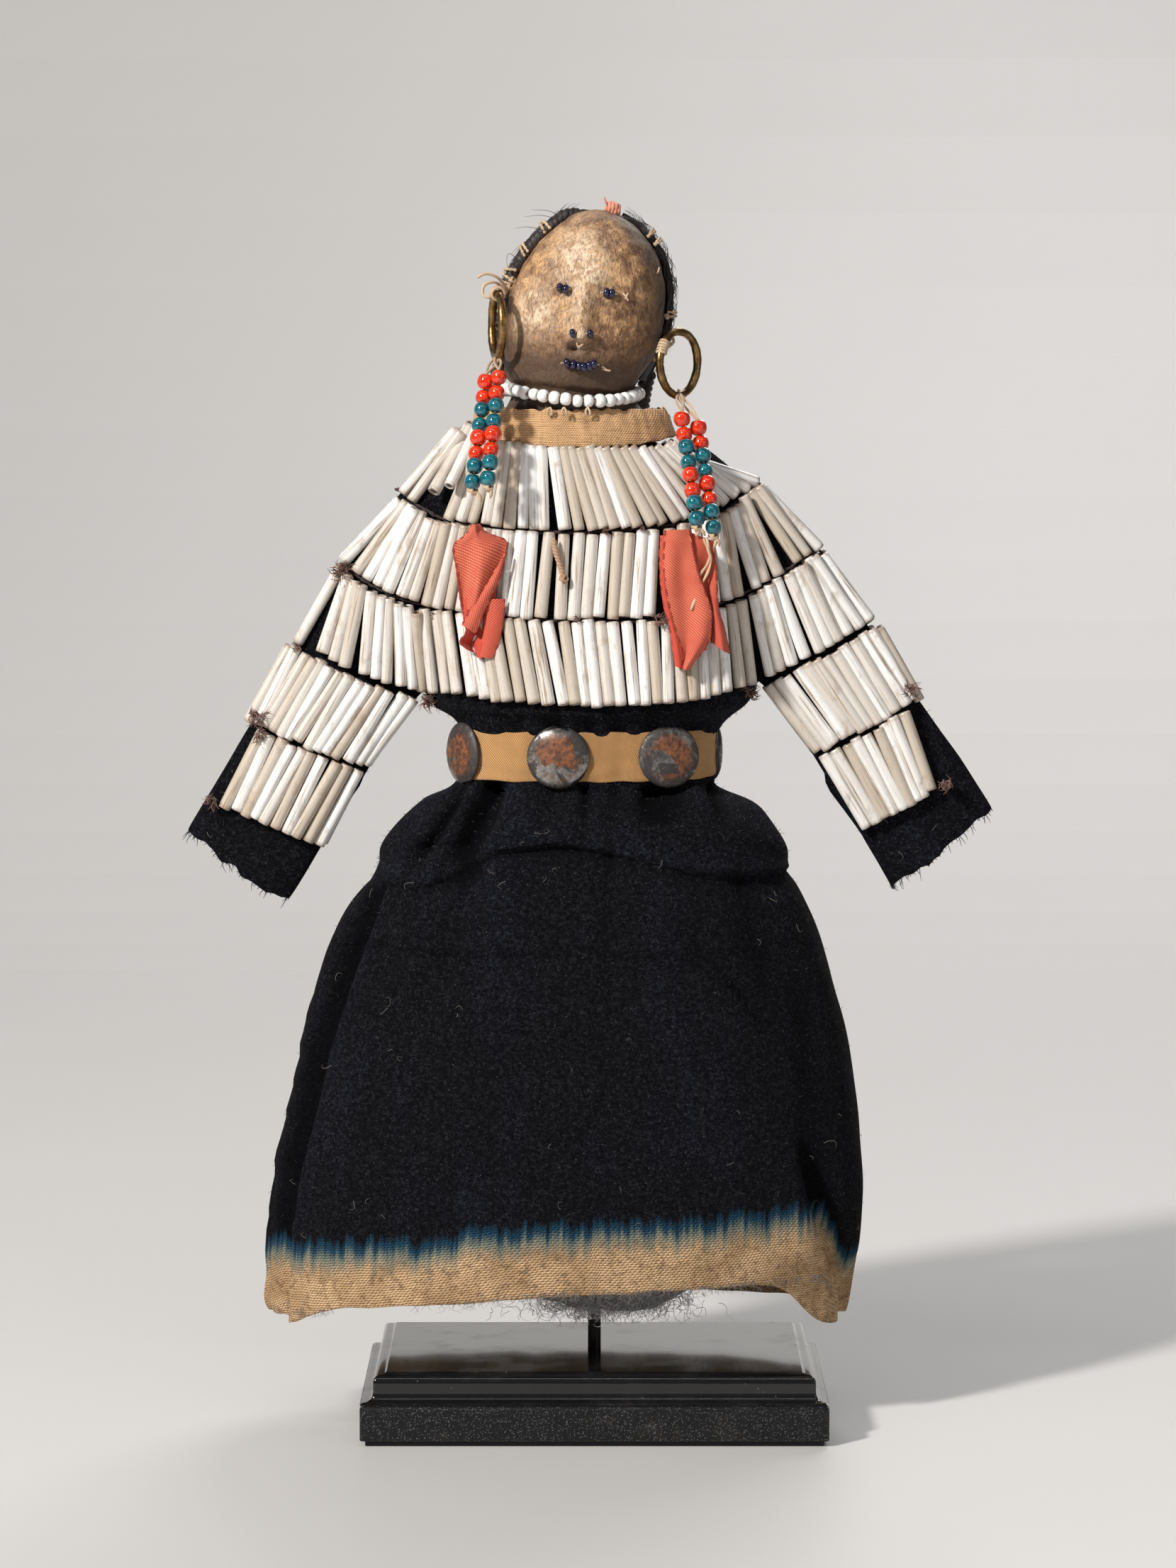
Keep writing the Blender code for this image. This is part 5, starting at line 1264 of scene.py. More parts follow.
def on_face(x, z):
    """The place on the face that shows at (x, z) in the middle plane, and the way out of it."""
    return HEAD_SKIN.ray_cast(EYE, (Vector((x, 0, z)) - EYE).normalized())[:2]


def bead_template(bore, sides, steps, flat):
    """A round bead one unit wide and one long, with its hole along Z."""
    mould = Mould()
    profile = []
    for k in range(steps):
        angle = pi * (k + 0.5) / steps
        profile.append((bore + (0.5 - bore) * sin(angle) ** flat, 0.5 * cos(angle)))
    profile += [(bore * 0.85, -0.38), (bore * 0.85, 0.38)]
    mould.rings(turned(profile, sides), closed=True)
    return pattern_of(mould, "bead_pattern")


def aimed(direction, roll=0.0):
    """A turn that points Z along a direction."""
    return direction.to_track_quat("Z", "Y").to_matrix() @ Matrix.Rotation(roll, 3, "Z")


SEED_WIDTH = 0.0030
SEED_LENGTH = 0.00185
FACE_BEADS = {
    "left_eye_beads": ((-9.9, 326.9), (-8.2, 326.4)),
    "right_eye_beads": ((3.4, 325.4), (4.95, 325.1)),
    "left_nostril_bead": ((-6.1, 313.8),),
    "right_nostril_bead": ((-1.1, 313.7),),
    "mouth_beads": ((-7.9, 305.4), (-6.1, 305.0), (-4.5, 304.5), (-3.15, 304.3), (-1.55, 304.5), (-0.2, 305.0)),
}


# Loose ends of thread on the face: x and z of each, then which way it points in x and z, in millimetres
FACE_THREADS = (
    (8.6, 324.6, 0.9, -1.2), (9.0, 324.0, 0.5, 1.0), (2.6, 303.7, 1.6, -0.4), (3.0, 303.9, -0.8, 0.5),
    (-3.9, 310.6, 1.0, 0.6), (-4.3, 310.2, -0.6, 0.9), (-18.6, 341.8, 0.5, 1.0), (17.6, 331.2, 0.7, 1.1))


def make_face_beads():
    """The eyes, nostrils and mouth: drilled beads threaded on sinew."""
    pattern = bead_template(0.16, 14, 8, 0.85)
    threads = []
    for name, places in FACE_BEADS.items():
        spots, line = [], []
        for x, z in places:
            centre = on_face(x / 1000, z / 1000)[0] + FRONT * 0.00085
            line.append(centre)
            lean = Vector((1, 0, -0.15))
            if "nostril" in name:
                lean = Vector((1, -0.15, 0.28))
            elif name == "mouth_beads":
                lean = Vector((1, 0, 0.18 * sin((x + 4) * 1.1)))
            size = 1.0 + DICE.uniform(-0.06, 0.06)
            turn = aimed(lean, DICE.uniform(0, 6))
            spots.append((centre, turn, (size * 0.94, size, 1.0 + DICE.uniform(-0.12, 0.06)), DICE.random()))
        beads(name, spots, pattern, SEED_WIDTH, SEED_LENGTH, 0.02, 5, COBALT)
        side = Vector((0.0016, 0.0009, 0))
        threads.append([line[0] - side, *line, line[-1] + side])
    bpy.data.objects.remove(pattern)
    strand = [curve_through(t, 20) for t in threads]
    for x, z, dx, dz in FACE_THREADS:
        point, out = on_face(x / 1000, z / 1000)
        if point:
            tip = Vector((dx, -0.6, dz)) / 1000
            strand.append(curve_through([point - tip * 0.5 + out * 0.0001, point + out * 0.0006,
                                         point + tip * 0.6 + out * 0.0004, point + tip * 1.2], 12))
    fibres("face_threads", strand, SINEW, 0.00055, sides=7, taper=False)


make_face_beads()


# Hair


def out_of_head(point):
    """The way out of the head at a point of the seam."""
    return (point - HEAD_MIDDLE).normalized()


def seam_path(side, count):
    """Along the edge of the face from the crown to the ear, then down behind the shoulder."""
    quarter = pi / 2
    path = []
    for share, angle in ((0.985, 1.25), (0.95, 1.15), (0.88, 1.10), (0.80, 1.08), (0.68, 1.06), (0.55, 1.06),
                         (0.42, 1.08), (0.32, 1.12)):
        path.append(head_point(side * quarter * angle, share, 0.0016))
    ear = path[-1]
    inward = 0.0074 if side > 0 else 0.0
    path += [ear + Vector((side * 0.0002 - inward * 0.6, 0.0050, -0.010)),
             Vector((-0.0055 + side * 0.0262 - inward, 0.0205, 0.2890)),
             Vector((-0.0055 + side * 0.0250 - inward, 0.0262, 0.2740)),
             Vector((-0.0055 + side * 0.0240, 0.0270, 0.2530))]
    return curve_through(path, count)


def at_seam(path, i):
    """A place on the seam, the way along it and the way out of the head."""
    return path[i], (path[i + 1] - path[i - 1]).normalized(), out_of_head(path[i])


def twisted(mould, path, radius, strands, turns, thickness, sides, taper):
    """Strands twisted round each other along a path."""
    frames = tube_rings(path, 1.0, 4)
    for s in range(strands):
        line, radii = [], []
        for i, (point, ring) in enumerate(zip(path, frames)):
            t = i / (len(path) - 1)
            swell = sin(pi * min(1.0, max(0.0, t * 4))) if t < 0.125 else 1.0
            thin = 1 - (1 - taper) * smoothstep(0.85, 1.0, t)
            angle = 2 * pi * (s / strands + turns * t)
            swing = cos(angle) * (ring[0] - point) + sin(angle) * (ring[1] - point)
            line.append(point + radius * thin * swing * (0.5 + 0.5 * swell))
            radii.append(thickness * thin * (0.6 + 0.4 * swell) * (1 + 0.08 * sin(i * 1.3 + s)))
        mould.tube(line, radii, sides, DICE.random())


def plaited(mould, path, radius, thickness, turns):
    """Three strands plaited along a path."""
    frames = tube_rings(path, 1.0, 4, up=FRONT)
    for s in range(3):
        line, radii = [], []
        for i, (point, ring) in enumerate(zip(path, frames)):
            t = i / (len(path) - 1)
            thin = 1 - 0.6 * smoothstep(0.8, 1.0, t)
            angle = 2 * pi * (turns * t + s / 3)
            side, other = (ring[0] - point), (ring[1] - point)
            line.append(point + radius * thin * (sin(angle) * side + 0.55 * sin(2 * angle) * other))
            radii.append(thickness * thin)
        mould.tube(line, radii, 8, DICE.random())


def knot(mould, centre, size):
    """A small overhand knot."""
    for turn in range(3):
        tilt = Matrix.Rotation(turn * 1.1 + 0.4, 3, "X") @ Matrix.Rotation(turn * 0.9, 3, "Y")
        ring = [centre + tilt @ Vector((size * cos(a), size * sin(a), size * 0.35 * sin(2 * a)))
                for a in full_turn(18)]
        mould.tube(ring, size * 0.46, 7, DICE.random(), closed=True)


def make_hair_cap():
    """Hair over the back of the head, combed into ripples that thin out at its edge."""
    rows, columns = 44, 84

    def lift(r, c):
        edge = min(1.0, min(c, columns - 1 - c) / 4)
        ripple = 0.00030 * sin(c * 2.1 + 3 * sin(r * 0.35))
        return 0.0003 + 0.0021 * edge ** 0.5 + ripple + 0.00025 * rough_at(c * 0.5, r * 0.12, 0)

    def grid(rule):
        return [[head_point(radians(96 + 168 * c / (columns - 1)), 0.10 + 0.90 * r / (rows - 1), rule(r, c))
                 for c in range(columns)] for r in range(rows)]

    cap = Mould()
    slab(cap, grid(lift), grid(lambda r, c: 0.0001))
    piece("hair_cap", cap, HAIR, ("hair_cap",))


def make_braids():
    """The two braids with their ties. Gives the lines of the hairs that stand off them."""
    loose = []
    for side, hand in ((-1, "left"), (1, "right")):
        path = seam_path(side, 150)
        mould = Mould()
        at_ear = int(0.50 * len(path))
        if side < 0:
            twisted(mould, path[: at_ear + 6], 0.00105, 3, 12, 0.00125, 9, 0.9)
        else:
            for k in range(13):
                offset = (k - 6) / 6
                line = []
                for i, p in enumerate(path[: at_ear + 6]):
                    t = i / at_ear
                    out = out_of_head(p)
                    sway = 0.00045 * sin(i * (0.17 + 0.02 * k) + k * 2.0) + 0.0002 * sin(i * 0.6 + k)
                    line.append(p + out * (sway - 0.0002) + FRONT * 0.0011 * offset * smoothstep(0, 0.3, t)
                                + out * 0.0007 * cos(offset * 1.4))
                radii = [0.00042 * (0.6 + 0.4 * smoothstep(0, 0.25, i / at_ear)) for i in range(len(line))]
                mould.tube(line, radii, 6, DICE.random())
        plaited(mould, path[at_ear - 4:], 0.00125, 0.00115, 7.5)
        end = path[-1]
        for k in range(9):
            a = k * 2.4
            tip = end + Vector((0.0011 * cos(a), 0.0009 * sin(a), -0.006 - 0.001 * sin(k * 3)))
            mould.cord([end + UP * 0.001, end.lerp(tip, 0.5) + Vector((0.0004, 0, 0)), tip], 8,
                       [0.0006, 0.0006, 0.0006, 0.0005, 0.0005, 0.0004, 0.0003, 0.0001], 5, DICE.random())
        piece(f"{hand}_braid", mould, HAIR, (f"{hand}_braid",))
        tie = Mould()
        frames = tube_rings(path, 0.0021, 20)
        for wrap in range(4):
            at = len(path) - 8 + wrap
            tie.tube(frames[min(at, len(path) - 1)], 0.00035, 6, 0.5, closed=True)
        piece(f"{hand}_braid_tie", tie, SINEW)
        for _ in range(150):
            i = DICE.randrange(4, at_ear)
            p, run, out = at_seam(path, i)
            spin = DICE.uniform(-1.2, 1.9)
            off = cos(spin) * out + sin(spin) * FRONT
            reach = DICE.uniform(0.0025, 0.0065) * DICE.choice((-1, 1))
            loose.append(curve_through([p + off * 0.0009, p + off * 0.0021 + run * reach * 0.5,
                                        p + off * DICE.uniform(0.0016, 0.0026) + run * reach], 7))
        for _ in range(30 if side < 0 else 16):
            i = DICE.randrange(6, at_ear)
            p, run, out = at_seam(path, i)
            along_seam = run * DICE.choice((-1, 1))
            reach = DICE.uniform(0.002, 0.005) * (1.4 if side < 0 and p.z > 0.335 else 0.7)
            bend_by = DICE.uniform(0.0, 0.5)
            loose.append(curve_through([p + out * 0.0008, p + out * 0.0017 + along_seam * reach * 0.5,
                                        p + out * (0.0018 + reach * 0.25 * bend_by) + along_seam * reach,
                                        p + out * (0.0014 + reach * 0.45 * bend_by) + along_seam * reach * 1.6], 10))
    return loose


def make_stray_hairs(loose):
    """Adds hairs that lie over the cap and stand off its edge, and spins them all."""
    for k in range(620):
        angle = radians(DICE.uniform(100, 260))
        start = DICE.uniform(0.45, 0.99)
        end = max(0.08, start - DICE.uniform(0.2, 0.6))
        pull = DICE.uniform(-0.10, 0.10) + (0.35 if angle > pi else -0.35) * 0.5
        loose.append([head_point(angle + pull * t, start + (end - start) * t, 0.00255 + 0.0003 * sin(t * 9 + k))
                      for t in (i / 12 for i in range(13))])
    for points in (((-9, -1, 346.5), (-13, -1.5, 348.5), (-18, -2, 348.8)),
                   ((-10, 0, 346), (-15, 0, 347.3), (-20, 0, 346.9)),
                   ((-14, -1, 343), (-19, -1, 344), (-23, -1, 343.5)),
                   ((-21, -2, 334), (-24.4, -3, 336.5), (-24.8, -3, 333), (-23, -3, 331.4)),
                   ((-23, -2, 331), (-26.2, -3, 330), (-26, -3, 326.9), (-24.2, -2, 325.5)),
                   ((18, 2, 309), (17.6, 1, 306), (16.4, 0, 305))):
        loose.append(curve_through(mm(*points), 16))
    fibres("stray_hairs", loose, HAIR, 0.00020)


def make_seam_stitches():
    """Sinew stitches over the edge of the braids, knotted below the crown."""
    stitches = Mould()
    for side, shares in ((-1, (0.10, 0.17, 0.245, 0.27, 0.335, 0.37, 0.40, 0.46)), (1, (0.09, 0.115, 0.30, 0.43))):
        path = seam_path(side, 150)
        for share in shares:
            i = int(share * 150)
            p, run, out = at_seam(path, i)
            front = run.cross(out)
            front = front if front.y < 0 else -front
            big = DICE.uniform(0.9, 1.15)
            for strand in (-1, 1):
                lean = DICE.uniform(-1, 1)
                arc = [p + 0.0024 * big * (cos(a) * out + sin(a) * front) + run * (0.0008 * a * lean + 0.0005 * strand)
                       for a in (0.1 + 1.75 * j / 12 for j in range(13))]
                radii = [0.00048 * big * (0.8 + 0.3 * sin(j * 1.9)) for j in range(13)]
                stitches.tube(arc, radii, 7, DICE.random())
            if share > 0.2:
                knot(stitches, arc[-1] + front * 0.0002, 0.0007 * big)
    piece("seam_stitches", stitches, SINEW)


def make_crown_tie():
    """Coral cord wound round the end of the braids on the crown."""
    crown = mm((5.2, 1.2, 349.0))[0]
    wrap = Mould()
    axis = Vector((0.80, 0.10, -0.22)).normalized()
    other = axis.cross(UP).normalized()
    third = axis.cross(other)
    coil = []
    for k in range(72):
        t = k / 71
        a = 2 * pi * 4.5 * t
        fat = 0.00145 * (0.72 + 0.5 * sin(pi * t)) * (1 + 0.12 * sin(k * 1.7))
        coil.append(crown + axis * (t - 0.5) * 0.0040 + fat * (cos(a) * other + sin(a) * third))
    wrap.tube(coil, 0.00062, 7, 0.5)
    end = [crown - axis * back + UP * up for back, up in ((0.0018, 0.0012), (0.0024, 0.0022), (0.0026, 0.0030))]
    wrap.cord(end, 6, [0.0004, 0.0004, 0.0003, 0.0003, 0.0002, 0.0001], 5, 0.1)
    piece("crown_tie", wrap, CORAL_WRAP, ("crown_tie",))


def slab(mould, outer, inner, tone=0.5):
    """A closed cloth or hide of some thickness, between an outer and an inner grid of points."""
    mould.sheet(outer, tone)
    back = [list(reversed(row)) for row in inner]
    mould.sheet(back, tone)
    rim_out = outer[0] + [row[-1] for row in outer[1:]] + outer[-1][-2::-1] + [row[0] for row in outer[-2:0:-1]]
    rim_in = inner[0] + [row[-1] for row in inner[1:]] + inner[-1][-2::-1] + [row[0] for row in inner[-2:0:-1]]
    count = len(rim_out)
    faces = [(i, count + i, count + (i + 1) % count, (i + 1) % count) for i in range(count)]
    mould.add(rim_out + rim_in, faces, None, tone)


CORAL_WRAP = fibre_material("coral_silk_cord", (0.42, 0.10, 0.06), (0.92, 0.42, 0.28), 0.75, 600.0)
make_hair_cap()
make_stray_hairs(make_braids())
make_seam_stitches()
make_crown_tie()


# Necklace


def make_necklace():
    """White beads round the neck on a thread, with three pairs of its loose ends below them."""
    pattern = bead_template(0.15, 16, 10, 0.80)
    spots, ring = [], []
    around = 37
    sizes = [1 + DICE.uniform(-0.07, 0.07) for _ in range(around)]
    total, run = sum(sizes), 0.0
    for size in sizes:
        share = (run + size / 2) / total
        run += size
        a = 2 * pi * share
        drop = -0.0020 * cos(a - 0.25) ** 2 if cos(a) > 0 else 0.0
        rise = 0.0012 * max(0.0, -sin(a - 0.3)) ** 2
        ring.append((Vector((-0.0064 + 0.0191 * sin(a), -0.0192 * cos(a), 0.29680 + drop + rise)), a, size))
    for (p, a, size), nxt in zip(ring, ring[1:] + ring[:1]):
        run_on = (nxt[0] - ring[(ring.index((p, a, size)) - 1) % around][0]).normalized()
        spots.append((p + wander(p, 0.003, 0.00030), aimed(run_on, DICE.uniform(0, 6)),
                      (size * DICE.uniform(0.97, 1.06), size, size * DICE.uniform(0.84, 0.99)), DICE.random()))
    beads("bead_necklace", spots, pattern, 0.00375, 0.00335, 0.02, 2, PORCELAIN, "necklace")
    bpy.data.objects.remove(pattern)
    thread = Mould()
    thread.tube([p for p, _, _ in ring], 0.0004, 6, 0.5, closed=True)
    for x, dx in ((-12.6, 0.0), (-8.6, 0.4), (-1.9, 0.2)):
        top = Vector((x / 1000, -0.0192 * sqrt(max(0.1, 1 - ((x + 6.4) / 19.1) ** 2)) - 0.0006, 0.2930))
        for k in (-1, 1):
            thread.cord([top, top + Vector((k * 0.0006, -0.0002, -0.0011)),
                         top + Vector((k * 0.0005 + dx / 1000, 0.0002, -0.0024))], 9, [0.00032] * 8 + [0.00015], 6,
                         DICE.random())
    piece("necklace_thread", thread, SINEW)


make_necklace()


# Neck band and belt


def softened(node, push):
    """A finer copy of a plain solid, pushed out or in by a rule of place."""
    mesh = finer(node)
    for v in mesh.vertices:
        v.co += push(v.co)
    return faces_out(mesh)


def wrap_uv(mesh, centre_x, centre_y, radius):
    """UVs in metres round a band and up it."""
    spread = []
    for poly in mesh.polygons:
        angles = []
        for i in poly.loop_indices:
            p = mesh.vertices[mesh.loops[i].vertex_index].co
            angles.append(atan2(p.x - centre_x, -(p.y - centre_y)))
        middle = angles[0]
        for i, a in zip(poly.loop_indices, angles):
            if a - middle > pi:
                a -= 2 * pi
            elif middle - a > pi:
                a += 2 * pi
            spread += [a * radius, mesh.vertices[mesh.loops[i].vertex_index].co.z]
    give_uv(mesh, spread)
    give(mesh, "tone", [0.15] * len(mesh.vertices))


def make_bands():
    """The woven neck band and the twill belt."""
    def collar_push(p):
        a = atan2(p.x + 0.0055, -p.y)
        out = Vector((sin(a), -cos(a), 0))
        wave = 0.0009 * rough_at(a * 4, p.z * 110, 0) + 0.00050 * rough_at(a * 11, p.z * 240, 3)
        scallop = 0.00045 * sin(a * 26) * smoothstep(0.2875, 0.2845, p.z)
        ragged = 0.0010 * rough_at(a * 8, 1, p.z * 10) * smoothstep(0.288, 0.292, p.z)
        flare = 0.0012 * exp(-((p.x - 0.020) / 0.006) ** 2) * smoothstep(0.286, 0.291, p.z) * (p.y < 0)
        lower = 0.0017 * smoothstep(0.2885, 0.2840, p.z)
        return out * (wave + flare + 0.35 * lower) + UP * (scallop * 0.6 + ragged - lower)

    mesh = softened("neck_band", collar_push)
    wrap_uv(mesh, -0.0055, 0, 0.028)
    band = piece("neck_band", mesh, MUSLIN, ("neck_band",))

    def belt_push(p):
        a = atan2(p.x + 0.002, -p.y)
        out = Vector((sin(a), -cos(a), 0))
        wave = 0.00045 * rough_at(a * 6, p.z * 60, 7) + 0.00035 * rough_at(a * 2.2, p.z * 420, 2)
        pucker = 0.0
        for x0, tall, z0 in ((0.0085, 0.0004, 0.1930), (0.0300, 0.0007, 0.1922), (0.0290, 0.0005, 0.1965)):
            if p.y < 0:
                pucker -= tall * exp(-((p.x - x0) / 0.0060) ** 2 - ((p.z - z0 - 0.10 * (p.x - x0)) / 0.0013) ** 2)
        edge = 0.0006 * rough_at(a * 4, 2, p.z * 20)
        return out * (wave + pucker) + UP * edge

    mesh = softened("belt", belt_push)
    wrap_uv(mesh, -0.002, 0, 0.032)
    belt = piece("twill_belt", mesh, BELT_TWILL, ("belt",))


make_bands()


# Discs


def disc_frame(node):
    """Centre and outward way of a flat round solid."""
    points = np.array([v.co for v in NODES[node].data.vertices])
    low, high = points.min(0), points.max(0)
    centre = Vector(((low + high) / 2).tolist())
    out = Vector(np.linalg.eigh(np.cov((points - points.mean(0)).T))[1][:, 0].tolist())
    if out.dot(centre - Vector((-0.002, 0, centre.z))) < 0:
        out = -out
    return centre, out


DISC_RADIUS, DISC_BULGE = 0.00895, 0.0022


def make_discs():
    """Domed tin discs with a rolled rim. Their tone is the distance from the middle."""
    for number in range(1, 7):
        name = f"belt_disc_{number}"
        centre, out = disc_frame(name)
        side = out.cross(UP).normalized()
        up = side.cross(out)
        mould = Mould()
        rings, tones = [], []
        dents = number * 7.3
        profile = [(0.02, 1.0), (0.15, 0.99), (0.30, 0.95), (0.45, 0.885), (0.60, 0.79), (0.72, 0.69), (0.82, 0.57),
                   (0.90, 0.43), (0.96, 0.27), (0.99, 0.12), (1.0, 0.0), (0.99, -0.07), (0.95, -0.06), (0.90, 0.10),
                   (0.80, 0.34), (0.6, 0.56), (0.3, 0.72), (0.02, 0.76)]
        for r, h in profile:
            ring = []
            for a in full_turn(64):
                p = DISC_RADIUS * r * (cos(a) * side + sin(a) * up)
                dent = 0.00012 * noise.noise(p * 260 + Vector((dents, 0, 0)))
                ring.append(centre + p + out * (DISC_BULGE * h - 0.0009 + dent))
            rings.append(ring)
            tones += [r if h >= 0 and profile.index((r, h)) <= 10 else 1.0] * 64
        mould.rings(rings, tones)
        piece(name, mould, TIN, (name,))


make_discs()


# Earrings and drops


# Each ring: its hand, its centre and the way across it
EARS = [(hand, Vector(centre), Vector((cos(radians(turn)), sin(radians(turn)), 0)))
        for hand, centre, turn in (("left", (-0.0276, -0.0090, 0.3159), -79), ("right", (0.0240, -0.0035, 0.3054), 51))]


EAR_WIDE, EAR_TALL = 0.0085950, 0.0091680


def make_ear_rings():
    """Bent brass wire, a little uneven."""
    for hand, centre, across in EARS:
        path = []
        for a in full_turn(72):
            bump = 1 + 0.018 * sin(2 * a + 1) + 0.010 * sin(3 * a)
            path.append(centre + bump * (EAR_WIDE * cos(a) * across + EAR_TALL * sin(a) * UP))
        mould = Mould()
        radii = [0.00118 * (1 + 0.06 * sin(k * 0.5) + 0.03 * sin(k * 1.7)) for k in range(72)]
        mould.tube(path, radii, 16, 0.5, closed=True)
        piece(f"{hand}_earring", mould, BRASS, (f"{hand}_earring",))


PONY_WIDTH, PONY_LENGTH = 0.00465, 0.0043


def make_drops():
    """Four drops of eight beads on sinew loops, knotted at the foot."""
    pattern = bead_template(0.17, 18, 12, 0.95)
    order = ("red_1", "teal_1", "red_2", "teal_2")
    ties = Mould()
    for hand in ("left", "right"):
        slope = 0.14 if hand == "right" else -0.14
        for strand in ("outer", "inner"):
            centres = []
            for step in order:
                low, high = (Vector(v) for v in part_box(f"{hand}_drop_{strand}_{step}"))
                middle, tall = (low + high) / 2, (high.z - low.z) / 4
                shift = Vector((slope * tall, 0, -tall))
                centres += [middle - shift, middle + shift]
            line = evenly(curve_through(centres, 60), 60)
            places = [along(line, k / 7) for k in range(8)]
            for n, step in enumerate(order):
                name = f"{hand}_drop_{strand}_{step}"
                spots = []
                for k in (2 * n, 2 * n + 1):
                    run = (places[min(k + 1, 7)] - places[max(k - 1, 0)]).normalized()
                    size = 1 + DICE.uniform(-0.05, 0.05)
                    roll = DICE.uniform(0, 6)
                    chalky = (hand, strand) == ("right", "outer") and k in (0, 5)
                    tone = 1.0 if chalky else DICE.random() * 0.3
                    spots.append((places[k], aimed(run, roll), (size, size, 0.97 * size), tone))
                mat, slot = (RED, "red_glass") if step.startswith("red") else (TEAL, "teal_glass")
                beads(name, spots, pattern, PONY_WIDTH, PONY_LENGTH, 0.015, n + 1, mat)
            ties.tube(places, 0.00035, 6, 0.4)
            ring_foot = Vector((-0.0276, -0.0090, 0.3068)) if hand == "left" else Vector((0.0240, -0.0035, 0.2963))
            top = places[0] + UP * 0.0020
            for k in (-1, 1):
                loop = curve_through([top, top.lerp(ring_foot, 0.6) + Vector((k * 0.0009, -0.0014, 0)),
                                      ring_foot + Vector((k * 0.0004, -0.0016, 0.0004)), ring_foot + UP * 0.0014,
                                      ring_foot + Vector((k * 0.0005, 0.0015, 0.0001))], 22)
                ties.tube(loop, 0.00038, 7, DICE.random())
            foot = places[-1] - UP * 0.0024
            knot(ties, foot, 0.0011)
            for _ in range(2 if hand == "left" else 3):
                tip = foot + Vector((DICE.uniform(-0.0015, 0.0025), -0.0005, -DICE.uniform(0.0015, 0.0035)))
                ties.cord([foot, foot.lerp(tip, 0.5) + Vector((0.0006, -0.0004, 0)), tip], 8,
                          [0.0005] * 6 + [0.00035, 0.0002], 6, DICE.random())
    for points in (((30.6, -24, 256.5), (32.4, -25.2, 251.0), (30.0, -25.6, 246.5), (27.6, -25.8, 243.4)),
                   ((31.6, -24, 256.5), (32.6, -25.3, 249.0), (29.4, -25.8, 242.0), (27.2, -26.2, 236.2))):
        ties.cord(mm(*points), 22, [0.0004 * (1 + 0.2 * sin(k * 1.4)) for k in range(22)], 7, DICE.random())
    piece("drop_ties", ties, SINEW)
    bpy.data.objects.remove(pattern)


def make_ear_ties():
    """Sinew wound round the top of each ring, with two loose loops at the left ear."""
    ties = Mould()
    for (_, centre, across), tall, fat, start in zip(EARS, (0.0092, 0.0090), (0.0018, 0.0013), (1.35, 2.45)):
        facing = across.cross(UP)
        for k in range(5):
            a = start + 0.09 * k
            middle = centre + tall * (cos(a) * across * 0.94 + sin(a) * UP)
            radial = (cos(a) * across + sin(a) * UP).normalized()
            ties.tube([middle + fat * (cos(b) * radial + sin(b) * facing) for b in full_turn(16)],
                      0.00042, 7, DICE.random(), closed=True)
    for points in (((-24.6, -3.0, 326.0), (-27.5, -6.5, 329.6), (-30.8, -8.0, 330.6), (-33.2, -8.6, 329.6)),
                   ((-25.0, -3.5, 325.4), (-28.0, -7.0, 328.2), (-31.2, -8.5, 327.4), (-31.6, -8.8, 324.6),
                    (-29.4, -9.0, 323.8)),
                   ((20.0, 0.5, 311.0), (21.6, -1.0, 313.0), (22.6, -2.0, 311.4), (20.6, -0.5, 309.6))):
        ties.cord(mm(*points), 26, 0.00045, 7, DICE.random())
    piece("ear_ties", ties, SINEW)


make_ear_rings()
make_ear_ties()
make_drops()


# Ribbons


def ribbon_grid(left, right, lift, rows=34, columns=16, ripple=0.0):
    """A strip of ribbon between its two edges, given as (x, z) in millimetres from the top down."""
    a = curve_through([Vector((x, 0, z)) / 1000 for x, z in left], rows)
    b = curve_through([Vector((x, 0, z)) / 1000 for x, z in right], rows)
    grid = []
    for r, (p, q) in enumerate(zip(a, b)):
        row = []
        for c in range(columns):
            t = c / (columns - 1)
            spot = p.lerp(q, t)
            bow = ripple * sin(pi * 2.0 * t + r * 0.12) * smoothstep(0.0, 0.3, r / rows)
            row.append(Vector((spot.x, -lift(t, r / (rows - 1)) - bow, spot.z)))
        grid.append(row)
    return grid


RIBBON_THICKNESS = 0.0005


def cloth_piece(mould, grid, tone):
    """Gives a strip its thickness, with a raised selvedge down both edges."""
    rows, columns = len(grid), len(grid[0])
    front, back = [], []
    for r, row in enumerate(grid):
        line, under = [], []
        for c, p in enumerate(row):
            right = row[min(c + 1, columns - 1)] - row[max(c - 1, 0)]
            down = grid[min(r + 1, rows - 1)][c] - grid[max(r - 1, 0)][c]
            normal = right.cross(down)
            normal = normal.normalized() if normal.length > 1e-12 else FRONT
            if normal.y > 0:
                normal = -normal
            cord = 0.00016 if c in (0, columns - 1) else 0.0
            fray = wander(p, 0.0011, 0.00028) if c in (0, columns - 1) or r == rows - 1 else Vector()
            line.append(p + normal * (RIBBON_THICKNESS / 2 + cord) + fray)
            under.append(p - normal * (RIBBON_THICKNESS / 2 + cord) + fray)
        front.append(line)
        back.append(under)
    slab(mould, front, back, tone)
    # The selvedge cords take tone 0.9, the silk's deeper red: partly unfaded silk and partly painted shade along the
    # edges.
    for c in (0, columns - 1):
        radii = [0.00038 * (1 + 0.25 * sin(r * 1.9)) for r in range(rows)]
        mould.tube([row[c] + FRONT * 0.0001 for row in grid], radii, 6, 0.9)


def cape_front(x, z):
    """How far forward the tube rows stand at a place on the chest."""
    hit = seen(CLOTH, x, z)
    return -hit.y + 0.0045 if hit else 0.025


def bed(depth):
    """A rule for how far forward a ribbon lies, at shares across and down it."""
    return lambda t, s: depth + 0.0010 * sin(pi * t) + 0.0012 * s


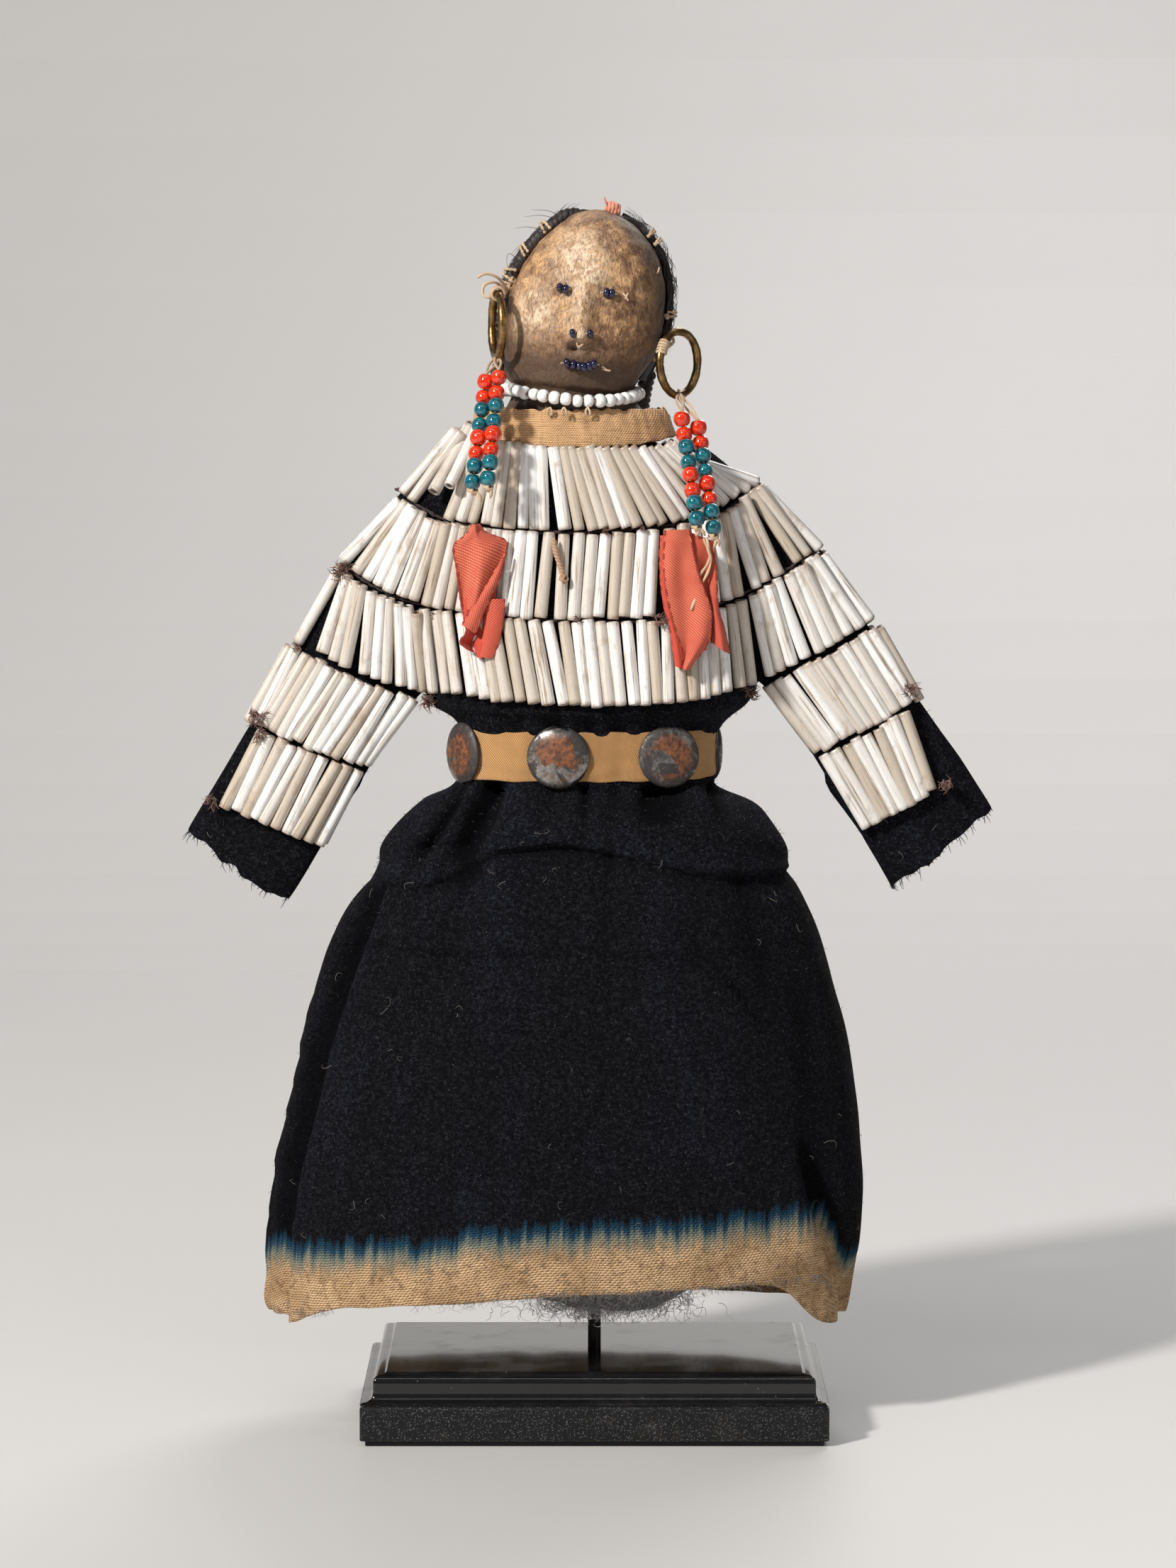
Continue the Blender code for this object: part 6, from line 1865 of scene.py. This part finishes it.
def make_left_ribbon():
    """The left ribbon: a kite, a lower strip, a fold across it and a rolled edge."""
    left = Mould()
    depth = max(cape_front(-0.032, 0.245), cape_front(-0.032, 0.232), cape_front(-0.028, 0.25))

    def ridge(t, s):
        crest = 1 - abs(t - 0.42 - 0.20 * s) / 0.62
        crest = 0.0034 * max(0.0, crest) ** 1.6 * (1 - 0.5 * s)
        return depth + 0.0004 + crest + 0.0010 * s + 0.0006 * sin(9 * t + 4 * s)

    kite = ribbon_grid(((-34.3, 260.2), (-36.2, 257.0), (-39.6, 254.0), (-38.8, 248.0), (-38.0, 241.0), (-37.2, 236.0)),
                       ((-32.7, 260.2), (-30.4, 257.6), (-25.1, 255.4), (-25.7, 250.9), (-27.6, 245.4), (-31.5, 236.0)),
                       ridge, 40, 20)
    # Each strip's tone sets how much of the silk's deeper red it takes: partly unfaded silk and partly painted shade on
    # strips under or behind others.
    cloth_piece(left, kite, tone=0.10)
    lower = ribbon_grid(((-37.0, 241.5), (-36.9, 235.1), (-36.1, 229.8), (-37.9, 227.0), (-34.9, 224.6)),
                        ((-28.8, 244.0), (-28.0, 238.6), (-28.2, 233.0), (-29.0, 228.0), (-31.6, 222.0)),
                        lambda t, s: depth - 0.0002 + 0.0016 * sin(2.6 * pi * t + 2.0 * s) + 0.0008 * s, 34, 18)
    cloth_piece(left, lower, tone=0.85)
    fold = ribbon_grid(((-26.6, 249.0), (-30.0, 243.6), (-34.4, 237.0), (-37.2, 231.8)),
                       ((-25.0, 252.5), (-26.7, 245.5), (-30.6, 237.2), (-33.6, 229.6)), bed(depth + 0.0020), 26, 9)
    cloth_piece(left, fold, tone=0.22)
    loop = []
    for r in range(26):
        t = r / 25
        row = []
        for c in range(12):
            a = pi * (0.05 + 1.55 * c / 11)
            wide = 0.0023 * (1 - 0.30 * t) + 0.0005
            lean = -0.0284 + 0.0010 * sin(2.2 * t) - 0.0034 * t ** 1.5
            row.append(Vector((lean + wide * cos(a), -depth - 0.0014 - 0.0011 * sin(a), 0.2392 - 0.0166 * t)))
        loop.append(row)
    cloth_piece(left, loop, tone=0.50)
    made = piece("left_ribbon", left, SILK, ("left_ribbon",))


def make_right_ribbon():
    """The right ribbon: a strip behind, a wide one in front, its hem and a tail."""
    right = Mould()
    depth = max(cape_front(0.024, 0.245), cape_front(0.028, 0.228), cape_front(0.026, 0.222))
    behind = ribbon_grid(((25.4, 258.6), (28.0, 249.2), (30.1, 239.8), (31.8, 232.7), (33.2, 226.8)),
                         ((33.1, 255.6), (34.2, 246.8), (34.6, 237.4), (36.5, 230.4), (38.0, 223.8)),
                         bed(depth - 0.0002), ripple=0.0012)
    # Each strip's tone sets how much of the silk's deeper red it takes: partly unfaded silk and partly painted shade on
    # strips under or behind others.
    cloth_piece(right, behind, tone=0.45)

    def swell(t, s):
        wave = 0.0011 * sin(2.2 * pi * t + 3.0 * s) * min(1.0, 3 * s)
        return depth + 0.0018 + 0.0012 * sin(pi * t) + wave

    front = ribbon_grid(((19.9, 258.6), (19.6, 249.2), (20.5, 239.8), (22.7, 230.4), (24.5, 224.7), (24.2, 219.6)),
                        ((26.5, 258.9), (29.1, 246.8), (32.4, 237.4), (32.8, 232.7), (31.7, 226.8), (26.2, 219.3)),
                        swell, 40, 22)
    cloth_piece(right, front, tone=0.10)
    hem = ribbon_grid(((18.9, 257.0), (18.6, 249.2), (19.3, 239.8), (21.5, 230.4), (23.0, 220.4)),
                      ((20.4, 257.5), (20.5, 249.2), (21.4, 239.8), (23.7, 230.4), (24.8, 219.8)), bed(depth + 0.0004),
                      34, 6)
    cloth_piece(right, hem, tone=0.85)
    tail = ribbon_grid(((28.0, 231.0), (28.4, 227.5), (28.9, 225.4)), ((32.6, 232.0), (32.0, 228.0), (31.0, 224.8)),
                       bed(depth + 0.0002), 16, 8)
    cloth_piece(right, tail, tone=0.7)
    made = piece("right_ribbon", right, SILK, ("right_ribbon",))


make_left_ribbon()
make_right_ribbon()


# Stand


def make_stand():
    """The moulded base, the rod and the black finish of the pad under it."""
    half_x, half_y = 0.0665, 0.041
    profile = [(0.0016, 0.0015), (0.0002, 0.0015), (0.0, 0.0018), (0.0, 0.0106), (0.0005, 0.0112), (0.0005, 0.0116),
               (0.0, 0.0119)]
    for k in range(28):
        t = k / 27
        ogee = 0.0008 + 0.0056 * (t + 0.16 * sin(2 * pi * t))
        rise = 0.0124 + 0.0070 * (t - 0.16 * sin(2 * pi * t))
        profile.append((ogee, rise))
    profile += [(0.0070, 0.0196), (0.0074, 0.0200), (0.0088, 0.0200), (0.020, 0.0200)]
    mould = Mould()
    mould.rings([round_box(half_x - inset, half_y - inset, 0.0007, z) for inset, z in profile])
    base = piece("lacquered_base", mould, LACQUER, ("stand_base",))
    base.data.set_sharp_from_angle(angle=radians(32))

    rod = Mould()
    low, high = (Vector(v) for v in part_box("stand_rod"))
    middle = (low + high) / 2
    radius = (high.x - low.x) / 2
    rings = []
    for z, r in ((0.0082, 1.0), (0.0200, 1.0), (0.0201, 1.0), (0.12, 1.0), (high.z - 0.0004, 1.0), (high.z, 0.8)):
        rings.append([Vector((middle.x + radius * r * cos(a), middle.y + radius * r * sin(a), z))
                      for a in full_turn(32)])
    rod.rings(rings)
    made = piece("stand_rod", rod, STEEL, ("stand_rod",))
    made.data.set_sharp_from_angle(angle=radians(40))
    # The thin pad under the base is made black.
    NODES["stand_pad"].data.materials.clear()
    NODES["stand_pad"].data.materials.append(PAD_FINISH)


def round_box(half_x, half_y, corner, z):
    """A level ring round a box with round corners."""
    ring = []
    for sx, sy, start in ((1, -1, -90), (1, 1, 0), (-1, 1, 90), (-1, -1, 180)):
        for k in range(6):
            a = radians(start + 90 * k / 5)
            x, y = sx * (half_x - corner) + corner * cos(a), sy * (half_y - corner) + corner * sin(a)
            ring.append(Vector((x, y, z)))
    return ring


make_stand()


# Stuffing, tufts and lint


def make_stuffing():
    """The skirt's fleece, with loose wisps that show at the hem."""
    def lumps(p):
        out = Vector((p.x * 0.6, p.y, (p.z - 0.1) * 0.5)).normalized()
        lump = (0.0016 * noise.noise(p * 70) + 0.0006 * noise.noise(p * 240)) * smoothstep(0.09, 0.05, p.z)
        lift = 0.0045 * smoothstep(0.014, 0.032, p.x) + 0.0030 * smoothstep(-0.016, -0.034, p.x)
        lifted = UP * lift * smoothstep(0.060, 0.040, p.z)
        return out * lump + lifted - Vector((p.x * 0.10, p.y * 0.30, 0)) * smoothstep(0.10, 0.14, p.z)

    mesh = softened("skirt_stuffing", lumps)
    made = piece("skirt_stuffing", mesh, WISPS_PAD, ("skirt_stuffing",))
    wisps = []
    for k in range(1500):
        x = DICE.gauss(0.004, 0.011)
        if not -0.030 < x < 0.036:
            continue
        y = DICE.uniform(-0.027, 0.016)
        z = DICE.uniform(0.034, 0.041) + 0.0007 * sin(x * 90)
        p = Vector((x, y, z))
        heading = Vector((DICE.uniform(-1, 1), DICE.uniform(-1, 0.4), DICE.uniform(-0.9, 0.35))).normalized()
        curl, line = DICE.uniform(0.5, 1.6), [p]
        for i in range(9):
            bent = Vector((sin(i * curl + k), cos(i * curl * 1.3 + k), sin(i * 0.9 * curl + 2 * k)))
            heading = (heading + bent * 0.55).normalized()
            step = p + heading * 0.0011
            if step.z < 0.0315:
                heading.z = abs(heading.z)
                step = p + heading * 0.0011
            p = step
            line.append(p)
        wisps.append(line)
    fibres("stuffing_wisps", wisps, WISPS, 0.00017)


def make_nap():
    """Short wool fibres that stand off the dress and soften its edges."""
    stands, mesh = [], DRESS.data
    outer = [p for p in mesh.polygons if abs(p.normal.y) > 0.02 or abs(p.center.x) > 0.04]
    for poly in DICE.sample(outer, 5200):
        p, n = poly.center, poly.normal
        if p.z < 0.054 or p.z > 0.279:
            continue
        lean = Vector((DICE.uniform(-1, 1), DICE.uniform(-1, 1), DICE.uniform(-1, 1)))
        lean = (lean - n * lean.dot(n) * 0.6)
        reach = DICE.uniform(0.0004, 0.0010)
        stands.append([p, p + (n * 0.8 + lean * 0.5) * reach, p + (n * 0.9 + lean * 1.3) * reach])
    fibres("wool_nap", stands, BLUE_THREAD, 0.00013)


def make_lint():
    """Stray fibres caught on the wool and threads that hang from its cut edges."""
    pale, blue = [], []
    for k in range(110):
        x, z = DICE.uniform(-0.095, 0.080), DICE.uniform(0.045, 0.182)
        if k % 3 == 0:
            side = DICE.choice((-1, 1))
            x, z = side * DICE.uniform(0.05, 0.115), DICE.uniform(0.15, 0.21)
        facing = -1 if k % 4 else 1
        hit, normal = over(CLOTH, x, z, facing, 9.0)
        if hit.y > 1 or abs(normal.y) < 0.3:
            continue
        a, reach = DICE.uniform(0, 6.28), DICE.uniform(0.0008, 0.0030)
        side = Vector((cos(a), 0, sin(a)))
        bend_by = Vector((-side.z, 0, side.x)) * DICE.uniform(-1.2, 1.2)
        out = normal * 0.0004
        pale.append(curve_through([hit, hit + side * reach * 0.5 + out,
                                   hit + (side + bend_by * 0.4) * reach + out * 1.4,
                                   hit + (side * 0.7 + bend_by) * reach + out], 8))
    cut = [v for v in DRESS.data.vertices if abs(v.co.x) > 0.08 and 0.142 < v.co.z < 0.185
           and v.normal.dot(CUFFS[v.co.x > 0][1]) > 0.55]
    for v in DICE.sample(cut, min(len(cut), 150)):
        reach = 0.0006 + 0.0036 * DICE.random() ** 4
        down = (v.normal + Vector((DICE.uniform(-0.7, 0.7), DICE.uniform(-0.5, 0.5), -0.4))).normalized()
        side = wander(v.co, 0.002, 0.0011) * (reach / 0.003)
        blue.append(curve_through([v.co - v.normal * 0.0002, v.co + down * reach * 0.5 + side, v.co + down * reach], 6))
    for _ in range(420):
        x = DICE.uniform(-0.093, 0.070)
        z = bend(HEM_FRONT, x) + DICE.uniform(-0.0004, 0.001)
        hit, normal = over(CLOTH, x, z + 0.0012, -1, 9.0)
        if hit.y > 1:
            continue
        reach = DICE.uniform(0.0005, 0.0018)
        pale.append(curve_through([hit, hit + Vector((DICE.uniform(-1, 1) * reach, -0.0004, -reach * 0.9)),
                                   hit + Vector((DICE.uniform(-1, 1) * reach * 1.5, -0.0002, -reach * 1.5))], 6))
    fibres("wool_lint", pale, LINT, 0.00014)
    fibres("frayed_cuffs", blue, BLUE_THREAD, 0.00030)


ROW_TUFTS = ((-73, 246, 2.4), (-98.6, 204.5, 2.2), (-95.9, 199, 1.6), (-109.7, 180, 1.5), (-50, 209.2, 2.2),
             (-60.3, 186.7, 2.2),
             (47.1, 211, 1.8), (96.6, 212, 2.0), (100.8, 185.3, 1.6), (19.6, 232.4, 1.8), (-46, 233.5, 0.8),
             (-5, 232.6, 0.8),
             (3.4, 257.6, 0.8), (13.5, 258.2, 0.7), (70.5, 166.8, 1.4), (-88.6, 224.5, 1.0))


def make_tufts():
    """Ends of sewing yarn at the ends of the tube rows."""
    tufts = []
    for x, z, size in ROW_TUFTS:
        for facing in (-1, 1):
            inward = [seen(CLOTH, (x - copysign(step, x)) / 1000, z / 1000, facing) for step in range(8)]
            hit = next((spot for spot in inward if spot), None)
            if not hit:
                continue
            for _ in range(int(18 * size)):
                way = Vector((DICE.uniform(-1, 1), facing * DICE.uniform(0.2, 1.3), DICE.uniform(-1, 1))).normalized()
                turn = Vector((DICE.uniform(-1, 1), facing * 0.3, DICE.uniform(-1, 1)))
                reach = size * DICE.uniform(0.0007, 0.0015)
                out = Vector((0, facing * 0.001, 0))
                tufts.append(curve_through([hit + out, hit + way * reach + out * 3.6,
                                            hit + (way + turn * 0.8).normalized() * reach * 1.6 + out * 4.2], 7))
    fibres("row_tufts", tufts, YARN, 0.00050, sides=4)


def make_row_sewing():
    """The sewing along the two upper lines of tubes."""
    sewing = Mould()
    for line in (LINE_A, LINE_B):
        for facing in (-1, 1):
            path = laid(line, facing)
            knotted = [p + Vector((0, facing * 0.0010, 0)) + wander(p, 0.0012, 0.00045) for p in path]
            sewing.tube(knotted, [0.00030 * (1 + 0.6 * abs(sin(i * 0.9))) for i in range(len(knotted))], 5, 0.2)
    piece("row_sewing", sewing, DARK_YARN)


def make_hanging_string():
    """The brown string on the chest, with its knot."""
    string = Mould()
    points = mm((-11.6, -20, 256.3), (-10.9, -20, 252.5), (-9.6, -20, 248.2), (-8.9, -20, 245.6))
    rest = [Vector((p.x, min(p.y, -cape_front(p.x, p.z) - 0.0008), p.z)) for p in points]
    twisted(string, curve_through(rest, 44), 0.00042, 2, 5.5, 0.00050, 7, 0.8)
    knot(string, rest[-1] + Vector((0.0002, 0, -0.0008)), 0.0010)
    piece("hanging_string", string, STRING)


def fleece_pad_material():
    """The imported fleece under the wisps."""
    mat, s, into = material("packed_fleece", 0.98, sheen_weight=0.3)
    fluff = s.group(FLUFF, {"Vector": s.coords(), "Scale": 900.0})
    s.plug(into["Base Color"], s.mix(fluff["Height"], (0.05, 0.048, 0.050), (0.52, 0.50, 0.48)))
    bumped(s, into, fluff["Height"], 0.0012, 1.0)
    return mat


WISPS_PAD = fleece_pad_material()
DARK_YARN = fibre_material("dark_sewing_yarn", (0.012, 0.007, 0.006), (0.075, 0.035, 0.028), 0.95)
STRING = fibre_material("brown_string", (0.20, 0.10, 0.055), (0.58, 0.36, 0.22), 0.7)
make_stuffing()
make_nap()
make_lint()
make_tufts()
make_row_sewing()
make_hanging_string()


# Camera, light and floor


def make_stage():
    """The photo's camera, its lights and a plain floor."""
    camera = placed("camera", bpy.data.cameras.new("camera"))
    camera.location = EYE
    camera.rotation_euler = (radians(90 - 5.32), 0, 0)
    camera.data.lens = 105
    camera.data.sensor_width = 36
    camera.data.clip_start = 0.01
    bpy.context.scene.camera = camera

    def lamp(name, place, target, size, power, colour=(1, 1, 1)):
        data = bpy.data.lights.new(name, "AREA")
        data.shape, data.size, data.energy, data.color = "DISK", size, power, colour
        obj = placed(name, data)
        obj.location = place
        obj.rotation_euler = (Vector(target) - Vector(place)).to_track_quat("-Z", "Y").to_euler()

    lamp("key_light", (-1.25, -1.30, 1.35), (0, 0, 0.2), 0.20, 55, (1.0, 0.975, 0.945))
    lamp("fill_light", (1.5, -1.4, 0.7), (0, 0, 0.2), 1.4, 3.5, (0.93, 0.96, 1.0))
    lamp("back_light", (0.5, 1.3, 1.3), (0, 0, 0.2), 1.0, 12)
    lamp("strip_light", (-0.2, -0.75, 1.5), (0, 0, 0.02), 2.0, 3.6)
    strip = bpy.data.lights["strip_light"]
    strip.shape, strip.size_y = "RECTANGLE", 0.05

    world = bpy.data.worlds.new("studio")
    world.use_nodes = True
    world.node_tree.nodes["Background"].inputs[0].default_value = (0.84, 0.84, 0.86, 1)
    world.node_tree.nodes["Background"].inputs[1].default_value = 0.17
    bpy.context.scene.world = world

    mould = Mould()
    sweep = [(-4.0, -0.0002), (0.9, -0.0002)]
    sweep += [(0.9 + 0.9 * sin(a), 0.9 - 0.9 * cos(a) - 0.0002) for a in (pi / 2 * k / 24 for k in range(1, 25))]
    sweep.append((1.8, 4.0))
    mould.sheet([[Vector((-5.0, y, z)), Vector((5.0, y, z))] for y, z in sweep])
    floor = placed("floor", mould.mesh("floor"))
    mat, shade, into = material("pale_floor", 0.5)
    grey = shade.mix(shade.noise(shade.coords(), 3.0), (0.60, 0.585, 0.57), (0.64, 0.625, 0.61))
    shade.plug(into["Base Color"], grey)
    floor.data.materials.append(mat)
    bpy.context.scene.view_settings.view_transform = "Standard"
    bpy.context.scene.view_settings.look = "None"


make_stage()
